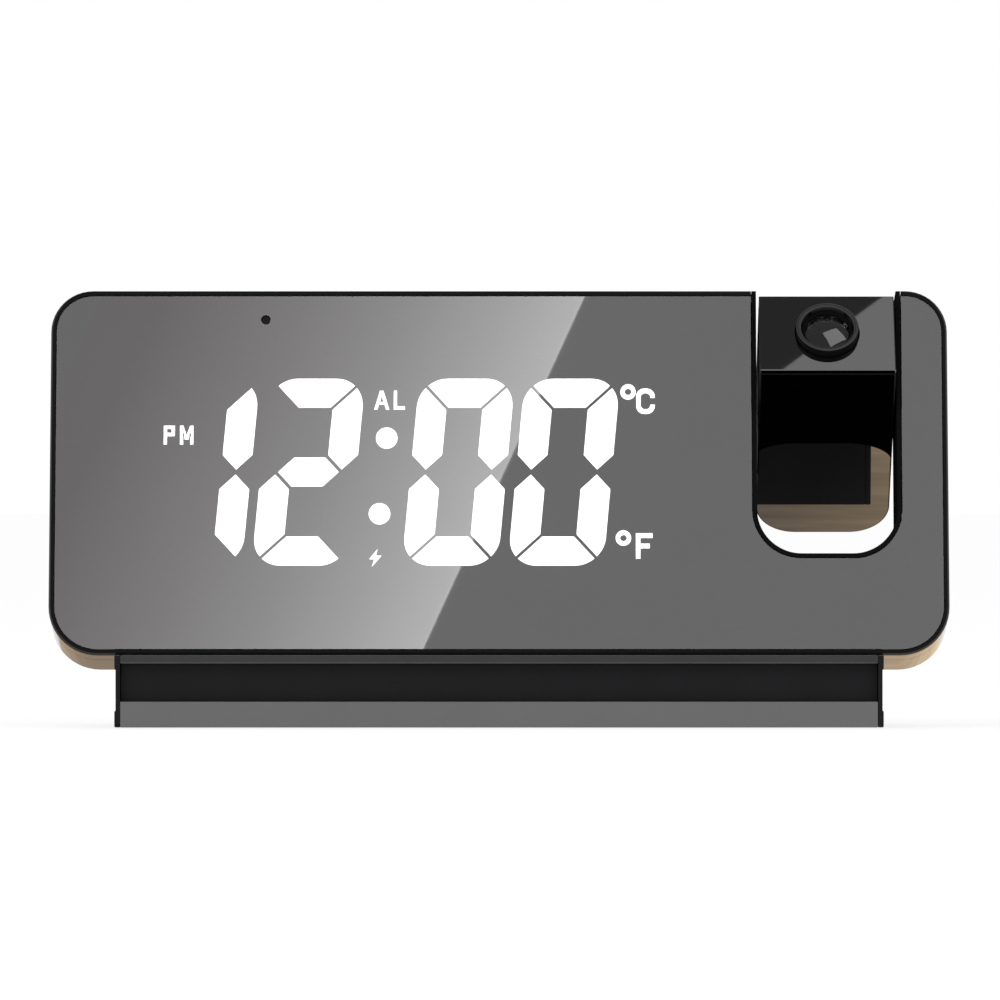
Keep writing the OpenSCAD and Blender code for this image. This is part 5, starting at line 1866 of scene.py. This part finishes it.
def wood_tone_material(stops: Sequence[tuple[float, Colour]]) -> bpy.types.Material:
    """Warm light of a table top, with a faint grain.

    Args:
        stops: Pairs of a place from 0, at the left, to 1, and the tone there.

    Returns:
        The material.
    """
    graph = Graph("table_tone")
    across = graph.across()
    top = max(max(tone) for _, tone in stops) * 1.2
    sides = []
    for share in (0.84, 1.16):
        shades = [(place, tuple(part * share / top for part in tone)) for place, tone in stops]
        sides.append(graph.node("ShaderNodeValToRGB", {"stops": shades}, {0: across}).outputs[0])
    grain = graph.noise(2.6, 4.0, (16.0, 1.0, 1.0)).step(0.3, 0.7)
    return graph.shine(graph.blend(grain, *sides), top)


@dataclass
class Studio:
    """Camera, floor, light and the cards that the mirrors show."""

    eye: tuple[float, float, float] = (0.0002, -2.0, 0.0475)
    frame_width: float = 208.3
    frame_plane: float = -0.0185
    softbox_edge: Pairs = ((17.8, 89.8), (-15.9, 16.25))
    softbox_reach: float = 100.0
    softbox_over: float = 30.0
    softbox_light: Pairs = (
        (0.0, 1.0), (0.12, 1.02), (0.425, 1.48), (0.633, 1.93), (0.842, 2.6), (1.0, 3.25),
    )
    softbox_warmth: Colour = (1.018, 0.965, 0.975)
    rim_w: float = 0.55
    rim_reach: float = 0.995
    rim_light: float = 3.7
    sky_edge: Pairs = ((79.8, 89.8), (58.7, 74.4))
    overhead: Pairs = ((0.68, 1.0), (0.84, 0.134))
    lamp_powers: Pairs = ((-1.0, 9.0), (1.0, 5.0))
    glint: Pairs = ((0.67, -4.13), (4.06, -1.89), (-1.31, -0.35), (2.15, 1.51))
    glass_top: float = 19.8
    glass_r: float = 20.0
    table_tone: tuple[tuple[float, Colour], ...] = (
        (0.0, (0.7, 0.54, 0.38)), (0.65, (0.7, 0.54, 0.41)), (0.69, (0.74, 0.58, 0.45)),
        (0.775, (1.18, 0.9, 0.6)), (1.0, (1.25, 0.97, 0.66)),
    )
    table_x: tuple[float, float] = (-0.15, 0.15)
    table_y: tuple[float, float] = (-0.024, 0.15)
    table_z: float = 0.00015

    def at(self, across: float, up: float) -> Vector:
        """A point of the picture's plane, from millimetres across and up."""
        return Vector((across * MM, self.frame_plane, up * MM))

    def camera(self) -> None:
        """Sets up the camera, level with the clock and square to it."""
        data = bpy.data.cameras.new("camera")
        data.sensor_width = 36.0
        data.lens = 36.0 * (self.frame_plane - self.eye[1]) / (self.frame_width * MM)
        data.clip_start, data.clip_end = 0.1, 200.0
        thing = bpy.data.objects.new("camera", data)
        thing.location = self.eye
        thing.rotation_euler = (math.radians(90.0), 0.0, 0.0)
        bpy.context.scene.collection.objects.link(thing)
        bpy.context.scene.camera = thing

    def card(
        self, name: str, corners: Sequence[Vector], material: bpy.types.Material
    ) -> bpy.types.Object:
        """A card that only mirrors see.

        Args:
            name: Its name.
            corners: Lower left, lower right, upper left and upper right.
            material: Its light.

        Returns:
            The card.
        """
        Bench.clear()
        bpy.ops.mesh.primitive_plane_add(size=1.0)
        thing = bpy.context.active_object
        thing.name = name
        for vertex, corner in zip(thing.data.vertices, corners):
            vertex.co = corner
        thing.data.materials.append(material)
        thing.visible_camera = False
        thing.visible_diffuse = False
        thing.visible_transmission = False
        thing.visible_volume_scatter = False
        thing.visible_shadow = False
        return thing

    def floor(self) -> None:
        """A wide pale floor that stays almost white, with only a faint shadow."""
        Bench.clear()
        bpy.ops.mesh.primitive_plane_add(size=60.0)
        thing = bpy.context.active_object
        thing.name = "floor"
        graph = Graph("pale_floor")
        paper = graph.noise(60.0, 2.0)
        tone = graph.blend(paper, (0.9, 0.9, 0.9), (0.92, 0.92, 0.92))
        matt = graph.node("ShaderNodeBsdfDiffuse", None, {"Color": tone})
        light = graph.node("ShaderNodeEmission", None, {0: (1.0, 1.0, 1.0, 1.0), 1: 1.0})
        mixed = graph.node(
            "ShaderNodeMixShader", None, {0: 0.8, 1: matt.outputs[0], 2: light.outputs[0]}
        )
        thing.data.materials.append(graph.end(mixed))

    def sky(self) -> None:
        """White all round, but dark overhead for what mirrors see."""
        world = bpy.data.worlds.new("white_room")
        world.use_nodes = True
        tree = world.node_tree
        tree.nodes.clear()
        new, link = tree.nodes.new, tree.links.new
        chart, split = new("ShaderNodeTexCoord"), new("ShaderNodeSeparateXYZ")
        ramp, rays = new("ShaderNodeValToRGB"), new("ShaderNodeLightPath")
        mix, back = new("ShaderNodeMix"), new("ShaderNodeBackground")
        out = new("ShaderNodeOutputWorld")
        for stop, (height, light) in zip(ramp.color_ramp.elements, self.overhead):
            stop.position, stop.color = height, (light, light, light, 1.0)
        mix.data_type = "RGBA"
        link(chart.outputs["Generated"], split.inputs[0])
        link(split.outputs[2], ramp.inputs[0])
        link(rays.outputs["Is Glossy Ray"], mix.inputs[0])
        mix.inputs[6].default_value = (1.0, 1.0, 1.0, 1.0)
        link(ramp.outputs[0], mix.inputs[7])
        link(mix.outputs[2], back.inputs[0])
        link(back.outputs[0], out.inputs[0])
        bpy.context.scene.world = world

    def lamps(self) -> None:
        """Two large soft lamps, high at the left and at the right."""
        for name, (side, power) in zip(("key_lamp", "fill_lamp"), self.lamp_powers):
            data = bpy.data.lights.new(name, "AREA")
            data.shape, data.size, data.energy = "DISK", 0.9, power
            thing = bpy.data.objects.new(name, data)
            thing.location = (side * 1.1, -0.9, 1.5)
            aim = Vector((0.0, 0.0, 0.04)) - thing.location
            thing.rotation_euler = aim.to_track_quat("-Z", "Y").to_euler()
            thing.visible_glossy = False
            bpy.context.scene.collection.objects.link(thing)

    def cards(self) -> None:
        """Softbox in the front mirror, bright sky in the projector's face, and the table's tone."""
        eye = vector(self.eye)
        front = Mirror(places.body.translation, places.face)
        (x1, z1), (x0, z0) = self.softbox_edge
        slope = (x1 - x0) / (z1 - z0)
        low, high = z0 - self.softbox_over, z1 + self.softbox_over
        ends = [(x0 + slope * (z - z0), z) for z in (low, high)]
        spots = [(x - shift, z) for x, z in ends for shift in (self.softbox_reach, 0.0)]
        corners = [front.shows(eye, self.at(x, z), 1.0) for x, z in spots]
        glow = card_material("softbox_light", self.softbox_light, self.softbox_warmth)
        self.card("softbox_card", corners, glow)
        edge = [(x - shift, z) for x, z in ends for shift in (self.rim_w, 0.0)]
        corners = [front.shows(eye, self.at(x, z), self.rim_reach) for x, z in edge]
        even = [(0.0, self.rim_light), (1.0, self.rim_light)]
        self.card("softbox_rim", corners, card_material("softbox_rim_light", even))
        face = Mirror(places.pivot + places.lens * self.face_height(), places.lens)
        far_end, near_end = (face.shows(eye, self.at(x, z), 1.0) for x, z in self.sky_edge)
        along = (far_end - near_end).normalized()
        centre = Vector((0.0, 0.0, (self.glass_top - self.glass_r) * MM))
        dome = Dome(places.head @ centre, self.glass_r * MM)
        spots = [places.head @ (Vector((x, s, self.glass_top)) * MM) for x, s in self.glint]
        corners = [dome.shows(eye, spot, 1.0) for spot in spots]
        for i in (2, 3):
            corners[i] = near_end + along * (corners[i] - near_end).dot(along)
        self.card("sky_card", corners, card_material("sky_light", [(0.0, 1.0), (1.0, 1.0)]))
        table = [Vector((x, y, self.table_z)) for y in self.table_y for x in self.table_x]
        self.card("table_tone_card", table, wood_tone_material(self.table_tone))

    @staticmethod
    def face_height() -> float:
        """Height of the projector's lens face above its pivot, in metres."""
        mesh = frame["nodes"]["projector_lens_plate"].data
        return max((vertex.co - places.pivot).dot(places.lens) for vertex in mesh.vertices)

    def build(self) -> None:
        """Sets up the whole studio."""
        self.camera()
        self.floor()
        self.sky()
        self.lamps()
        self.cards()
        scene = bpy.context.scene
        scene.view_settings.view_transform = "Standard"
        scene.view_settings.look = "None"


def main() -> None:
    """Builds the studio and every sub-assembly."""
    Studio().build()
    for assembly in (Front(), Case(), Display(), Insides(), Controls(), Foot(), Projector()):
        assembly.build()
        log.info("%s: %d pieces", type(assembly).__name__, len(assembly.made))


if __name__ == "__main__":
    main()
